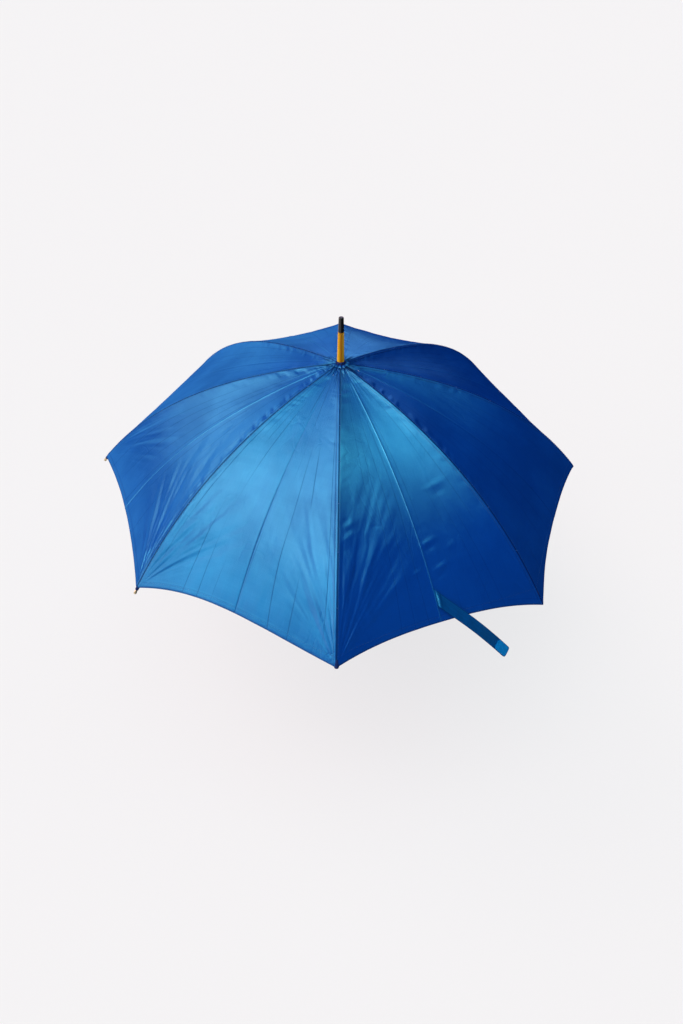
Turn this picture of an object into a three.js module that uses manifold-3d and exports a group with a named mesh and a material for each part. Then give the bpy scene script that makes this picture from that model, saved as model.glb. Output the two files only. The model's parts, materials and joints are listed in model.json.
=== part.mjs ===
// Stick umbrella with eight ribs and a crook handle, shown open. Millimetres, +Z up.
// The origin is on the shaft axis, in the middle of the handle's straight grip.
// Azimuth 0 points along -Y and grows towards +X, so rib 1 points along -Y and rib 3 along +X.
import * as THREE from 'three';
import { mergeVertices } from 'three/addons/utils/BufferGeometryUtils.js';
import Module from 'manifold-3d';

const wasm = await Module();
wasm.setup();

// Clearances
const seatGap = 0.3; // between pieces that sit on each other
const slideGap = 0.4; // between the shaft and what slides on it
const wireGap = 0.45; // between a wire ring and the eyes that turn on it
const overrun = 2; // how far a cutter runs past what it cuts

// Canopy
const ribCount = 8;
const canopyRadius = 512; // from the axis to the rib tips
const canopyRise = 247; // from the tips' plane to the crown
const crownSlopeShare = 0.247;
const bowShare = 0.423;
const clothThickness = 0.8;
const clothHoleRadius = 8.2;
const clothSag = 8.7; // how far a panel hangs in between two ribs
const sagOutShare = 0.45;
const sagUpShare = 0.89;
const hemScallopShare = 0.024;
const cornerShare = 0.992; // where a panel's corner is, of the canopy radius
const clothStations = 12;
const clothStrips = 6;

// Shaft and its taper above the canopy
const shaftRadius = 7;
const shaftSides = 20;
const spikeLength = 64;
const spikeTopRadius = 5.7;
const capSpigotRadius = 3.6;
const capSpigotLength = 20;
const capLength = 29;
const capBaseRadius = 5.5;
const capTopRadius = 4.8;
const capEdge = 1.6;
const capRoundShare = 0.3; // of the cap's edge, where its rounding turns over

// Collar, washer and notch under the crown
const crownCollarRadius = 8.8;
const crownCollarHeight = 2.2;
const crownCollarEdge = 0.7;
const washerRadius = 15;
const washerThickness = 1;
const pivotRadius = 13; // from the axis to the rib eyes and to the stretcher eyes
const flangeRadius = 16.5;
const flangeRoof = 2;
const flangeSkirt = 4; // from the pivot to the flange's far face
const hubRadius = 10;
const notchHubLength = 10;
const flangeSides = 32;
const wireRadius = 0.7;
const wireSteps = 32;
const wireSides = 6;
const crossPinRadius = 1.2;
const crossPinReach = 9.4;

// Ribs
const ribWidth = 3.2;
const ribHeight = 3.6;
const channelWall = 0.7;
const eyeRadius = 2.4;
const tongueWidth = 2;
const tongueLength = 8; // from an eye to where the channel starts to widen
const crimpLength = 6; // over which it widens
const rootReach = 67; // over which the rib comes up to the cloth
const closedEnd = 7; // solid end of a channel
const spigotSize = 2;
const spigotLength = 8.5;
const tipLength = 13;
const tipBaseRadius = 2.7;
const tipNeckRadius = 2.3;
const tipBallRadius = 2.9;
const tipSides = 10;
// A tip's profile, in shares of its length and of its ball's radius
const tipShares = { collar: 0.16, neck: 0.24, flare: 0.62, ball: 0.78, round: 0.94 };
const tipRoundShare = 0.8;

// Stretchers and their rivets
const stretcherLength = 282; // from eye to rivet, and from the rib's eye to the rivet
const stretcherHeight = 3.4;
const forkGap = 0.35; // on each side of the rib
const forkLength = 9;
const rivetRadius = 0.7;
const rivetHeadRadius = 1.5;
const rivetHeadLength = 0.7;
const rivetDrop = 0.3; // below the middle of the rib
const rivetSides = 8;
const eyeSides = 10;
const arcSteps = 3; // for a quarter turn of an eye

// Runner
const foldDegrees = 63; // how far the ribs turn down when the umbrella closes
const sleeveLength = 62; // below the runner's pivots
const sleeveRadius = 9.6;
const bellRadius = 12;
const bellLength = 9;
const bellLipShare = 0.6; // of the bell's length, as wide as its rim
const flangeTaper = 4.5; // under the runner's flange
const spineWidth = 5.4;
const spineRadius = 13;
const keyWidth = 2.2;
const windowWidth = 3.4;
const windowTop = 26; // below the runner's pivots
const windowLength = 13;

// Spring catches
const catchThickness = 1.2;
const catchReach = 11; // from the axis to the nose
const catchLength = 26;
const catchFoot = 1.5;
const catchNeck = 2.5;
const catchHeel = 3; // from the hinge to the end of the foot
const catchEdge = 0.75; // from the ramp to the nose
const catchRampShare = 0.4; // of the catch's length, where its ramp leaves the shaft
const catchShoulderShare = 0.84;
const catchNoseShare = 0.9;
const catchPressDegrees = 10; // how far a catch turns as it is pressed into the shaft

// Handle
const handleRadius = 10.5;
const handleTop = 60;
const handleGripBelow = 22; // from the origin down to where the crook starts to bend
const crookRadius = 42;
const crookEndLength = 24;
const socketDepth = 40;
const handleCollarHeight = 16;
const handleCollarRadius = 12;
const handleCollarEdge = 1.5;
const runnerParkGap = 8; // between the collar and the closed runner
const handleSides = 16;
const handleSteps = 26;
const handleEndSteps = 4;

// Closing strap, sewn to the crease in the middle of the panel between ribs 1 and 2
const strapWidth = 20;
const strapThickness = 1.2;
const strapRootShare = 0.923; // of the way out along the crease
const strapOut = 86; // from root to end, away from the axis
const strapAlong = 118; // from root to end, towards rib 2
const strapFall = 124; // from root to end, down
const strapLie = 66; // length that lies along the cloth
const strapDroop = 45; // over which it starts to fall
const strapSeat = 0.6; // between cloth and strap
const strapSteps = 14;
const patchStartShare = 0.84;
const patchEndShare = 0.97;
const patchWidth = 17;
const patchThickness = 0.8;
const patchSteps = 3;

// Materials
const finish = (color, roughness, metalness) => new THREE.MeshStandardMaterial({
  color, roughness, metalness, side: THREE.DoubleSide,
});
const blueSatin = finish(0x1d50c4, 0.5, 0);
const darkBlueCloth = finish(0x14255c, 0.8, 0);
const patchPile = finish(0x3c6ad6, 0.9, 0);
const goldenWood = finish(0xcf9a2e, 0.45, 0);
const handleWood = finish(0xb8812c, 0.4, 0);
const blackGloss = finish(0x0c0c0e, 0.2, 0);
const blackPlastic = finish(0x17181b, 0.4, 0);
const platedSteel = finish(0xa9adb3, 0.3, 0.9);
const darkSteel = finish(0x33363b, 0.35, 0.8);
const goldPlate = finish(0xcdb277, 0.35, 0.7);

// Solids: a closed mesh goes in, cuts and joins are made on it, and a mesh comes out
function solid(geometry) {
  const bare = geometry.clone();
  bare.deleteAttribute('normal');
  bare.deleteAttribute('uv');
  const merged = mergeVertices(bare);
  return new wasm.Manifold(new wasm.Mesh({
    numProp: 3,
    vertProperties: new Float32Array(merged.attributes.position.array),
    triVerts: new Uint32Array(merged.index.array),
  }));
}

function geometryOf(body) {
  const mesh = body.getMesh();
  const geometry = new THREE.BufferGeometry();
  geometry.setAttribute('position', new THREE.BufferAttribute(new Float32Array(mesh.vertProperties), 3));
  geometry.setIndex(new THREE.BufferAttribute(new Uint32Array(mesh.triVerts), 1));
  return geometry;
}

// A revolved piece about Z. Its points are [radius, height].
function revolve(points, sides) {
  const geometry = new THREE.LatheGeometry(points.map(([r, z]) => new THREE.Vector2(r, z)), sides);
  return geometry.rotateX(Math.PI / 2);
}

// A pierced piece about Z: the profile closes on itself
function ring(points, sides) {
  return revolve([...points, points[0]], sides);
}

// A profile in the upright plane through X, [x, z], as thick as the width across it
function upright(outline, width) {
  const geometry = new THREE.ExtrudeGeometry(outline, { depth: width, bevelEnabled: false });
  return geometry.translate(0, 0, -width / 2).rotateX(Math.PI / 2);
}

function outlineOf(points) {
  return new THREE.Shape(points.map(([x, y]) => new THREE.Vector2(x, y)));
}

function box(x0, x1, y0, y1, z0, z1) {
  const geometry = new THREE.BoxGeometry(x1 - x0, y1 - y0, z1 - z0);
  return geometry.translate((x0 + x1) / 2, (y0 + y1) / 2, (z0 + z1) / 2);
}

// A round bar along Y, as a hinge hole or a pin has it
function crossBar(x, z, radius, length, sides) {
  return new THREE.CylinderGeometry(radius, radius, length, sides).translate(x, 0, z);
}

// A closed sheet: pointAt(along, across, depth) gives its two faces, along and across run in whole steps
function sheet(pointAt, alongSteps, acrossSteps) {
  const positions = [];
  const index = [];
  const rowLength = acrossSteps + 1;
  const faceSize = rowLength * (alongSteps + 1);
  for (const depth of [0, 1]) {
    for (let i = 0; i <= alongSteps; i += 1) {
      for (let j = 0; j <= acrossSteps; j += 1) positions.push(...pointAt(i, j, depth).toArray());
    }
  }
  const quad = (a, b, c, d) => index.push(a, b, c, a, c, d);
  const at = (i, j, depth) => depth * faceSize + i * rowLength + j;
  for (let i = 0; i < alongSteps; i += 1) {
    for (let j = 0; j < acrossSteps; j += 1) {
      quad(at(i, j, 0), at(i + 1, j, 0), at(i + 1, j + 1, 0), at(i, j + 1, 0));
      quad(at(i, j, 1), at(i, j + 1, 1), at(i + 1, j + 1, 1), at(i + 1, j, 1));
    }
    const last = acrossSteps;
    quad(at(i, 0, 0), at(i, 0, 1), at(i + 1, 0, 1), at(i + 1, 0, 0));
    quad(at(i, last, 0), at(i + 1, last, 0), at(i + 1, last, 1), at(i, last, 1));
  }
  for (let j = 0; j < acrossSteps; j += 1) {
    quad(at(0, j, 0), at(0, j + 1, 0), at(0, j + 1, 1), at(0, j, 1));
    quad(at(alongSteps, j, 0), at(alongSteps, j, 1), at(alongSteps, j + 1, 1), at(alongSteps, j + 1, 0));
  }
  const geometry = new THREE.BufferGeometry();
  geometry.setAttribute('position', new THREE.BufferAttribute(new Float32Array(positions), 3));
  geometry.setIndex(index);
  return geometry;
}

// The canopy's line along a rib, measured from the crown
const rimShare = 1 - crownSlopeShare - bowShare;
const canopyDrop = (r) => {
  const u = r / canopyRadius;
  return canopyRise * (crownSlopeShare * u + bowShare * u ** 2 + rimShare * u ** 4);
};
const canopySlope = (r) => {
  const u = r / canopyRadius;
  const steepness = crownSlopeShare + 2 * bowShare * u + 4 * rimShare * u ** 3;
  return canopyRise / canopyRadius * steepness;
};
// A point that lies a depth under the cloth's outer face, square to it, as [radius, height]
const underCloth = (r, depth) => {
  const slope = canopySlope(r);
  const length = Math.hypot(1, slope);
  return [r - depth * slope / length, -canopyDrop(r) - depth / length];
};
const halfTurn = Math.PI / ribCount;
const clothCornerRadius = canopyRadius * cornerShare;
const stationRadius = (k) => clothHoleRadius + (clothCornerRadius - clothHoleRadius) * k / clothStations;
const sagAt = (u, across) => clothSag * Math.sin(Math.PI * Math.min(u, 1)) * (1 - across ** 2);

// The cloth falls away to both sides of a rib, so the rib sits that much lower
const firstStripEdge = 1 - 2 / clothStrips;
const edgeDip = (r, halfWidth) => {
  const slope = canopySlope(r);
  const chordFall = Math.tan(halfTurn) * slope / Math.hypot(1, slope);
  const stripWidth = r * Math.sin(halfTurn) * (1 - firstStripEdge);
  return halfWidth * (chordFall + sagAt(r / canopyRadius, firstStripEdge) / stripWidth);
};
const stationRadii = Array.from({ length: clothStations }, (unused, k) => stationRadius(k + 1));
const ribSeat = seatGap + Math.max(...stationRadii.map((r) => edgeDip(r, ribWidth / 2)));
const ribTopDepth = clothThickness + ribSeat;

// The underside of a panel's middle at one of its stations, as [radius, height]
const panelMiddle = (station) => {
  const radius = station * (1 - hemScallopShare);
  const [r, z] = underCloth(radius, clothThickness);
  const sag = sagAt(radius / canopyRadius, 0);
  return [r * Math.cos(halfTurn) - sag * sagOutShare, z - sag * sagUpShare];
};

// Heights under the crown. The washer lies under the lowest cloth above its edge.
const [nearMiddle, farMiddle] = [panelMiddle(stationRadius(0)), panelMiddle(stationRadius(1))];
const washerReach = (washerRadius - nearMiddle[0]) / (farMiddle[0] - nearMiddle[0]);
const washerTopZ = nearMiddle[1] + (farMiddle[1] - nearMiddle[1]) * washerReach - seatGap;
const notchTopZ = washerTopZ - washerThickness - seatGap;
const notchPivotZ = notchTopZ - flangeRoof - seatGap - eyeRadius;

// The rib's line: a point at a depth below the rib's back, as [radius, height]
const rootDrop = underCloth(pivotRadius, ribTopDepth + ribHeight / 2)[1] - notchPivotZ;
const ribPoint = (r, depth) => {
  const point = underCloth(r, ribTopDepth + depth);
  const fade = Math.max(0, 1 - (r - pivotRadius) / rootReach) ** 2;
  return [point[0], point[1] - rootDrop * fade];
};
const channelStart = pivotRadius + tongueLength;
const ribStations = [channelStart, (channelStart + stationRadii[0]) / 2, ...stationRadii];

// The rivet lies on the rib's line, one stretcher length from the rib's eye
function findRivet() {
  let near = pivotRadius;
  let far = clothCornerRadius;
  const halvings = 40;
  for (let i = 0; i < halvings; i += 1) {
    const middle = (near + far) / 2;
    const [r, z] = rivetPoint(middle);
    if (Math.hypot(r - pivotRadius, z - notchPivotZ) < stretcherLength) near = middle;
    else far = middle;
  }
  return rivetPoint(near);
}
// Between two stations the rib is straight, and so is the line that carries the rivet
function rivetPoint(r) {
  const next = Math.max(1, ribStations.findIndex((station) => station >= r));
  const [r0, r1] = [ribStations[next - 1], ribStations[next]];
  const share = (r - r0) / (r1 - r0);
  const a = ribPoint(r0, ribHeight / 2 + rivetDrop);
  const b = ribPoint(r1, ribHeight / 2 + rivetDrop);
  return [a[0] + (b[0] - a[0]) * share, a[1] + (b[1] - a[1]) * share];
}
const [rivetX, rivetZ] = findRivet();
const openAngle = Math.asin((notchPivotZ - rivetZ) / stretcherLength);
const foldAngle = THREE.MathUtils.degToRad(foldDegrees);
const openDrop = 2 * stretcherLength * Math.sin(openAngle);
const closedDrop = 2 * stretcherLength * Math.sin(openAngle + foldAngle);
const runnerPivotZ = notchPivotZ - openDrop;

// Heights above the origin
const handleCollarBottom = handleTop + seatGap;
const handleCollarTop = handleCollarBottom + handleCollarHeight;
const parkedPivotHeight = handleCollarTop + runnerParkGap + sleeveLength;
const crownHeight = parkedPivotHeight + closedDrop - notchPivotZ;

// The umbrella: everything measured from the crown hangs in the upper group
const umbrella = new THREE.Group();
const upper = new THREE.Group();
upper.position.z = crownHeight;
umbrella.add(upper);

function place(name, geometry, material, parent) {
  const mesh = new THREE.Mesh(geometry, material);
  mesh.name = name;
  parent.add(mesh);
  return mesh;
}

// A group whose X axis points out along an azimuth, counted in ribs
const spokeTurn = (count) => 2 * halfTurn * count - Math.PI / 2;
function spoke(count) {
  const group = new THREE.Group();
  group.rotation.z = spokeTurn(count);
  upper.add(group);
  return group;
}
const keySpoke = 0.5; // the keyway and the catches lie between ribs 1 and 2

// Catches: the nose stands out of the shaft, the foot is the hinge
const catchPress = THREE.MathUtils.degToRad(catchPressDegrees);
const catchArm = catchLength - catchFoot;
const catchRise = catchReach * Math.sin(catchPress) - catchArm * (1 - Math.cos(catchPress));
function catchOutline(up) {
  const points = [
    [-catchFoot, 0],
    [catchFoot, 0],
    [shaftRadius - catchFoot, catchLength * catchRampShare],
    [catchReach - catchEdge, catchLength * catchShoulderShare],
    [catchReach, catchLength * catchNoseShare],
    [catchReach, catchLength],
    [catchNeck, catchLength],
    [-catchFoot, catchHeel],
  ];
  return outlineOf(up ? points : points.map(([x, z]) => [x, -z]).reverse());
}
function catchPocket(up) {
  const half = catchThickness / 2 + seatGap;
  const inner = -shaftRadius + catchFoot;
  const far = catchLength + catchRise + slideGap;
  const [low, high] = up ? [-slideGap, far] : [-far, slideGap];
  return box(inner, shaftRadius + overrun, -half, half, low, high);
}
// The open runner's window shows the top catch, and the closed runner's shows the bottom one
const topCatchFootZ = crownHeight + runnerPivotZ - windowTop - slideGap - catchLength;
const bottomCatchFootZ = parkedPivotHeight - windowTop - windowLength + slideGap + catchLength;
const stopPinZ = crownHeight + runnerPivotZ + flangeSkirt + seatGap + crossPinRadius;
const notchPinZ = crownHeight + notchPivotZ - flangeSkirt - notchHubLength / 2;

function turned(geometry, z, angle) {
  return geometry.rotateZ(angle).translate(0, 0, z);
}
const keyTurn = spokeTurn(keySpoke);

// Shaft
const collarBottomZ = -canopyDrop(clothHoleRadius) + seatGap;
const spikeBottom = crownHeight + collarBottomZ + crownCollarHeight;
const spikeTop = spikeBottom + spikeLength;
function makeShaft() {
  const bottom = handleTop - socketDepth + seatGap;
  let body = solid(revolve([
    [0, bottom],
    [shaftRadius, bottom],
    [shaftRadius, spikeBottom],
    [spikeTopRadius, spikeTop],
    [capSpigotRadius, spikeTop],
    [capSpigotRadius, spikeTop + capSpigotLength],
    [0, spikeTop + capSpigotLength],
  ], shaftSides));
  const pinHole = () => crossBar(0, 0, crossPinRadius + seatGap, 2 * (shaftRadius + overrun), eyeSides);
  body = body.subtract(solid(turned(catchPocket(true), topCatchFootZ, keyTurn)));
  body = body.subtract(solid(turned(catchPocket(false), bottomCatchFootZ, keyTurn)));
  body = body.subtract(solid(turned(pinHole(), stopPinZ, keyTurn)));
  body = body.subtract(solid(turned(pinHole(), notchPinZ, keyTurn)));
  return geometryOf(body);
}
place('shaft', makeShaft(), goldenWood, umbrella);

function crossPin(z, radius, reach) {
  return turned(crossBar(0, 0, radius, 2 * reach, eyeSides), z, keyTurn);
}
place('stop_pin', crossPin(stopPinZ, crossPinRadius, crossPinReach), platedSteel, umbrella);
place('notch_pin', crossPin(notchPinZ, crossPinRadius, crossPinReach), platedSteel, umbrella);

function makeCatch(up, footZ) {
  return turned(upright(catchOutline(up), catchThickness), footZ, keyTurn);
}
place('top_catch', makeCatch(true, topCatchFootZ), platedSteel, umbrella);
place('bottom_catch', makeCatch(false, bottomCatchFootZ), platedSteel, umbrella);

// Ferrule cap, a deep cup over the shaft's spigot
function makeFerruleCap() {
  const base = spikeTop + seatGap;
  const top = base + capLength;
  const bore = capSpigotRadius + seatGap;
  const boreEnd = spikeTop + capSpigotLength + seatGap;
  return revolve([
    [0, boreEnd],
    [bore, boreEnd],
    [bore, base],
    [capBaseRadius, base],
    [capTopRadius, top - capEdge],
    [capTopRadius - capEdge * capRoundShare, top - capEdge * capRoundShare],
    [capTopRadius - capEdge, top],
    [0, top],
  ], shaftSides);
}
place('ferrule_cap', makeFerruleCap(), blackGloss, umbrella);

// Crown collar, above the cloth, and washer, below it
function makeCrownCollar() {
  const inner = shaftRadius + seatGap;
  const top = collarBottomZ + crownCollarHeight;
  return ring([
    [inner, collarBottomZ],
    [crownCollarRadius, collarBottomZ],
    [crownCollarRadius, top - crownCollarEdge],
    [crownCollarRadius - crownCollarEdge, top],
    [inner, top],
  ], flangeSides / 2);
}
place('crown_collar', makeCrownCollar(), blackPlastic, upper);

function makeWasher() {
  const inner = shaftRadius + seatGap;
  return ring([
    [inner, washerTopZ - washerThickness],
    [washerRadius, washerTopZ - washerThickness],
    [washerRadius, washerTopZ],
    [inner, washerTopZ],
  ], flangeSides / 2);
}
place('crown_washer', makeWasher(), darkBlueCloth, upper);

// What the notch and the runner share: slots for the eyes and a groove for the wire
function cutForEyes(body, pivotZ, slotLow, slotHigh) {
  const half = tongueWidth / 2 + slideGap;
  const inner = pivotRadius - eyeRadius - seatGap;
  let cut = body;
  for (let i = 0; i < ribCount; i += 1) {
    const slot = box(inner, flangeRadius + overrun, -half, half, slotLow, slotHigh);
    cut = cut.subtract(solid(slot.rotateZ(spokeTurn(i))));
  }
  const reach = wireRadius + wireGap;
  const groove = ring([
    [pivotRadius - reach, pivotZ - reach],
    [flangeRadius + overrun, pivotZ - reach],
    [flangeRadius + overrun, pivotZ + reach],
    [pivotRadius - reach, pivotZ + reach],
  ], flangeSides);
  return cut.subtract(solid(groove));
}

function makeNotch() {
  const inner = shaftRadius + seatGap;
  const flangeBottom = notchPivotZ - flangeSkirt;
  const hubBottom = flangeBottom - notchHubLength;
  let body = solid(ring([
    [inner, hubBottom],
    [hubRadius, hubBottom],
    [hubRadius, flangeBottom],
    [flangeRadius, flangeBottom],
    [flangeRadius, notchTopZ],
    [inner, notchTopZ],
  ], flangeSides));
  body = cutForEyes(body, notchPivotZ, flangeBottom - overrun, notchPivotZ + eyeRadius + seatGap);
  const pinHole = crossBar(0, 0, crossPinRadius + seatGap, 2 * flangeRadius, eyeSides);
  return geometryOf(body.subtract(solid(turned(pinHole, notchPinZ - crownHeight, keyTurn))));
}
place('top_notch', makeNotch(), platedSteel, upper);

const wireRing = () => new THREE.TorusGeometry(pivotRadius, wireRadius, wireSides, wireSteps);
place('notch_wire', wireRing().translate(0, 0, notchPivotZ), darkSteel, upper);

// Runner: flange, sleeve and bell, with a hollow spine that clears the catches
function makeRunner() {
  const inner = shaftRadius + slideGap;
  const flangeTop = runnerPivotZ + flangeSkirt;
  const flangeBottom = runnerPivotZ - flangeSkirt - seatGap;
  const bottom = runnerPivotZ - sleeveLength;
  const core = inner - overrun;
  let body = solid(ring([
    [core, bottom],
    [bellRadius, bottom],
    [bellRadius, bottom + bellLength * bellLipShare],
    [sleeveRadius, bottom + bellLength],
    [sleeveRadius, flangeBottom - flangeTaper],
    [flangeRadius, flangeBottom],
    [flangeRadius, flangeTop],
    [core, flangeTop],
  ], flangeSides));
  const spine = box(inner, spineRadius, -spineWidth / 2, spineWidth / 2, bottom, flangeBottom);
  body = body.add(solid(spine.rotateZ(keyTurn)));
  body = cutForEyes(body, runnerPivotZ, runnerPivotZ - eyeRadius - seatGap, flangeTop + overrun);
  const bore = revolve([
    [0, bottom - overrun],
    [inner, bottom - overrun],
    [inner, flangeTop + overrun],
    [0, flangeTop + overrun],
  ], flangeSides);
  body = body.subtract(solid(bore));
  const keyDepth = catchReach + slideGap;
  const key = box(0, keyDepth, -keyWidth / 2, keyWidth / 2, bottom - overrun, flangeTop + overrun);
  body = body.subtract(solid(key.rotateZ(keyTurn)));
  const windowHigh = runnerPivotZ - windowTop;
  const opening = box(0, spineRadius + overrun, -windowWidth / 2, windowWidth / 2,
    windowHigh - windowLength, windowHigh);
  return geometryOf(body.subtract(solid(opening.rotateZ(keyTurn))));
}
place('runner', makeRunner(), blackPlastic, upper);
place('runner_wire', wireRing().translate(0, 0, runnerPivotZ), darkSteel, upper);

// Rib: a curved channel with an eye at the notch and a spigot for its tip
const ribLast = ribStations[ribStations.length - 1];
const ribEnd = ribPoint(ribLast, ribHeight / 2);
const ribEndAngle = Math.atan(canopySlope(ribLast));
function eyeHole(x, z) {
  return crossBar(x, z, wireRadius + wireGap, ribWidth + overrun, eyeSides);
}
function makeRib() {
  const side = new THREE.Shape();
  const backFirst = ribPoint(channelStart, 0);
  side.moveTo(pivotRadius, notchPivotZ + eyeRadius);
  side.lineTo(...backFirst);
  for (const r of ribStations.slice(1)) side.lineTo(...ribPoint(r, 0));
  for (const r of [...ribStations].reverse()) side.lineTo(...ribPoint(r, ribHeight));
  side.lineTo(pivotRadius, notchPivotZ - eyeRadius);
  side.absarc(pivotRadius, notchPivotZ, eyeRadius, -Math.PI / 2, Math.PI / 2, true);
  const bar = new THREE.ExtrudeGeometry(side, {
    depth: ribWidth, bevelEnabled: false, curveSegments: arcSteps,
  });
  let body = solid(bar.translate(0, 0, -ribWidth / 2).rotateX(Math.PI / 2));
  const wide = channelStart + crimpLength;
  const far = canopyRadius + overrun;
  const near = pivotRadius - eyeRadius - overrun;
  const plan = outlineOf([
    [near, -tongueWidth / 2],
    [channelStart, -tongueWidth / 2],
    [wide, -ribWidth],
    [far, -ribWidth],
    [far, ribWidth],
    [wide, ribWidth],
    [channelStart, tongueWidth / 2],
    [near, tongueWidth / 2],
  ]);
  const planHeight = 2 * canopyRise;
  const planSolid = new THREE.ExtrudeGeometry(plan, { depth: planHeight, bevelEnabled: false });
  body = body.intersect(solid(planSolid.translate(0, 0, -planHeight + overrun)));
  const inside = ribStations.slice(1);
  const roof = inside.map((r) => ribPoint(r, channelWall));
  const floor = inside.map((r) => ribPoint(r, ribHeight + overrun)).reverse();
  const endShift = ([x, z]) => [
    x - closedEnd * Math.cos(ribEndAngle),
    z + closedEnd * Math.sin(ribEndAngle),
  ];
  roof[roof.length - 1] = endShift(roof[roof.length - 1]);
  floor[0] = endShift(floor[0]);
  body = body.subtract(solid(upright(outlineOf([...roof, ...floor]), ribWidth - 2 * channelWall)));
  body = body.subtract(solid(eyeHole(pivotRadius, notchPivotZ)));
  const rivetHole = crossBar(rivetX, rivetZ, rivetRadius + seatGap, ribWidth + overrun, eyeSides);
  body = body.subtract(solid(rivetHole));
  const half = spigotSize / 2;
  const spigot = box(-closedEnd / 2, spigotLength, -half, half, -half, half);
  body = body.add(solid(spigot.rotateY(ribEndAngle).translate(ribEnd[0], 0, ribEnd[1])));
  return geometryOf(body);
}
const ribGeometry = makeRib();

// Tip: a cup with a collar and a ball end, on the rib's spigot
function makeTip() {
  const bore = spigotSize / Math.SQRT2 + seatGap;
  const boreEnd = spigotLength + seatGap;
  const profile = [
    [0, boreEnd],
    [bore, boreEnd],
    [bore, seatGap],
    [tipBaseRadius, seatGap],
    [tipBaseRadius, tipLength * tipShares.collar],
    [tipNeckRadius, tipLength * tipShares.neck],
    [tipNeckRadius, tipLength * tipShares.flare],
    [tipBallRadius, tipLength * tipShares.ball],
    [tipBallRadius * tipRoundShare, tipLength * tipShares.round],
    [0, tipLength],
  ];
  return revolve(profile, tipSides).rotateY(Math.PI / 2);
}
const tipGeometry = makeTip();

// Rivet: a pin with a head on each side of the fork
const forkHalf = ribWidth / 2 + forkGap + channelWall;
function makeRivet() {
  const inner = forkHalf + seatGap;
  const outer = inner + rivetHeadLength;
  return new THREE.LatheGeometry([
    [0, -outer],
    [rivetHeadRadius, -outer],
    [rivetHeadRadius, -inner],
    [rivetRadius, -inner],
    [rivetRadius, inner],
    [rivetHeadRadius, inner],
    [rivetHeadRadius, outer],
    [0, outer],
  ].map(([r, y]) => new THREE.Vector2(r, y)), rivetSides);
}
const rivetGeometry = makeRivet();

// Stretcher: X runs from the eye on the runner to the rivet, and the channel opens downwards
function makeStretcher() {
  const half = stretcherHeight / 2;
  const side = new THREE.Shape();
  side.moveTo(0, eyeRadius);
  side.lineTo(tongueLength, half);
  side.lineTo(stretcherLength, half);
  side.absarc(stretcherLength, 0, half, Math.PI / 2, -Math.PI / 2, true);
  side.lineTo(tongueLength, -half);
  side.lineTo(0, -eyeRadius);
  side.absarc(0, 0, eyeRadius, -Math.PI / 2, Math.PI / 2, true);
  const width = 2 * forkHalf;
  const bar = new THREE.ExtrudeGeometry(side, {
    depth: width, bevelEnabled: false, curveSegments: arcSteps,
  });
  let body = solid(bar.translate(0, 0, -width / 2).rotateX(Math.PI / 2));
  const wide = tongueLength + crimpLength;
  const far = stretcherLength + half + overrun;
  const near = -eyeRadius - overrun;
  const plan = outlineOf([
    [near, -tongueWidth / 2],
    [tongueLength, -tongueWidth / 2],
    [wide, -forkHalf - overrun],
    [far, -forkHalf - overrun],
    [far, forkHalf + overrun],
    [wide, forkHalf + overrun],
    [tongueLength, tongueWidth / 2],
    [near, tongueWidth / 2],
  ]);
  const planHeight = 2 * (eyeRadius + overrun);
  const planSolid = new THREE.ExtrudeGeometry(plan, { depth: planHeight, bevelEnabled: false });
  body = body.intersect(solid(planSolid.translate(0, 0, -planHeight / 2)));
  const inner = ribWidth / 2 + forkGap;
  const channel = box(wide + closedEnd / 2, far, -inner, inner, -half - overrun, half - channelWall);
  const fork = box(stretcherLength - forkLength, far, -inner, inner, -half - overrun, half + overrun);
  body = body.subtract(solid(channel)).subtract(solid(fork));
  body = body.subtract(solid(eyeHole(0, 0)));
  const rivetHole = crossBar(stretcherLength, 0, rivetRadius + seatGap, width + overrun, eyeSides);
  body = body.subtract(solid(rivetHole));
  return geometryOf(body);
}
const stretcherGeometry = makeStretcher();

// A panel between two ribs: straight between them, hanging in by the sag, with a hollowed hem
const ribWays = (count) => {
  const azimuth = 2 * halfTurn * count;
  return {
    out: new THREE.Vector3(Math.sin(azimuth), -Math.cos(azimuth), 0),
    along: new THREE.Vector3(Math.cos(azimuth), Math.sin(azimuth), 0),
  };
};
function panelPoint(count, station, across, depth) {
  const radius = station * (1 - hemScallopShare * (1 - across ** 2));
  const [r, z] = underCloth(radius, depth);
  const first = ribWays(count);
  const second = ribWays(count + 1);
  const a = first.out.multiplyScalar(r).addScaledVector(first.along, seatGap / 2);
  const b = second.out.multiplyScalar(r).addScaledVector(second.along, -seatGap / 2);
  const point = a.lerp(b, (1 + across) / 2);
  point.z = z;
  const middle = ribWays(count + 0.5).out.multiplyScalar(sagOutShare);
  middle.z = sagUpShare;
  return point.addScaledVector(middle, -sagAt(radius / canopyRadius, across));
}
function makePanel(count) {
  const pointAt = (i, j, depth) => {
    const across = 2 * j / clothStrips - 1;
    return panelPoint(count, stationRadius(i), across, depth * clothThickness);
  };
  return sheet(pointAt, clothStations, clothStrips);
}

for (let i = 0; i < ribCount; i += 1) {
  const number = i + 1;
  const arm = spoke(i);
  place(`rib_${number}`, ribGeometry, platedSteel, arm);
  const tip = place(`rib_tip_${number}`, tipGeometry, goldPlate, arm);
  tip.position.set(ribEnd[0], 0, ribEnd[1]);
  tip.rotation.y = ribEndAngle;
  const rivet = place(`rib_pin_${number}`, rivetGeometry, darkSteel, arm);
  rivet.position.set(rivetX, 0, rivetZ);
  const stretcher = place(`stretcher_${number}`, stretcherGeometry, platedSteel, arm);
  stretcher.position.set(pivotRadius, 0, runnerPivotZ);
  stretcher.rotation.y = -openAngle;
  place(`gore_${number}`, makePanel(i - 1), blueSatin, upper);
}

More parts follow.
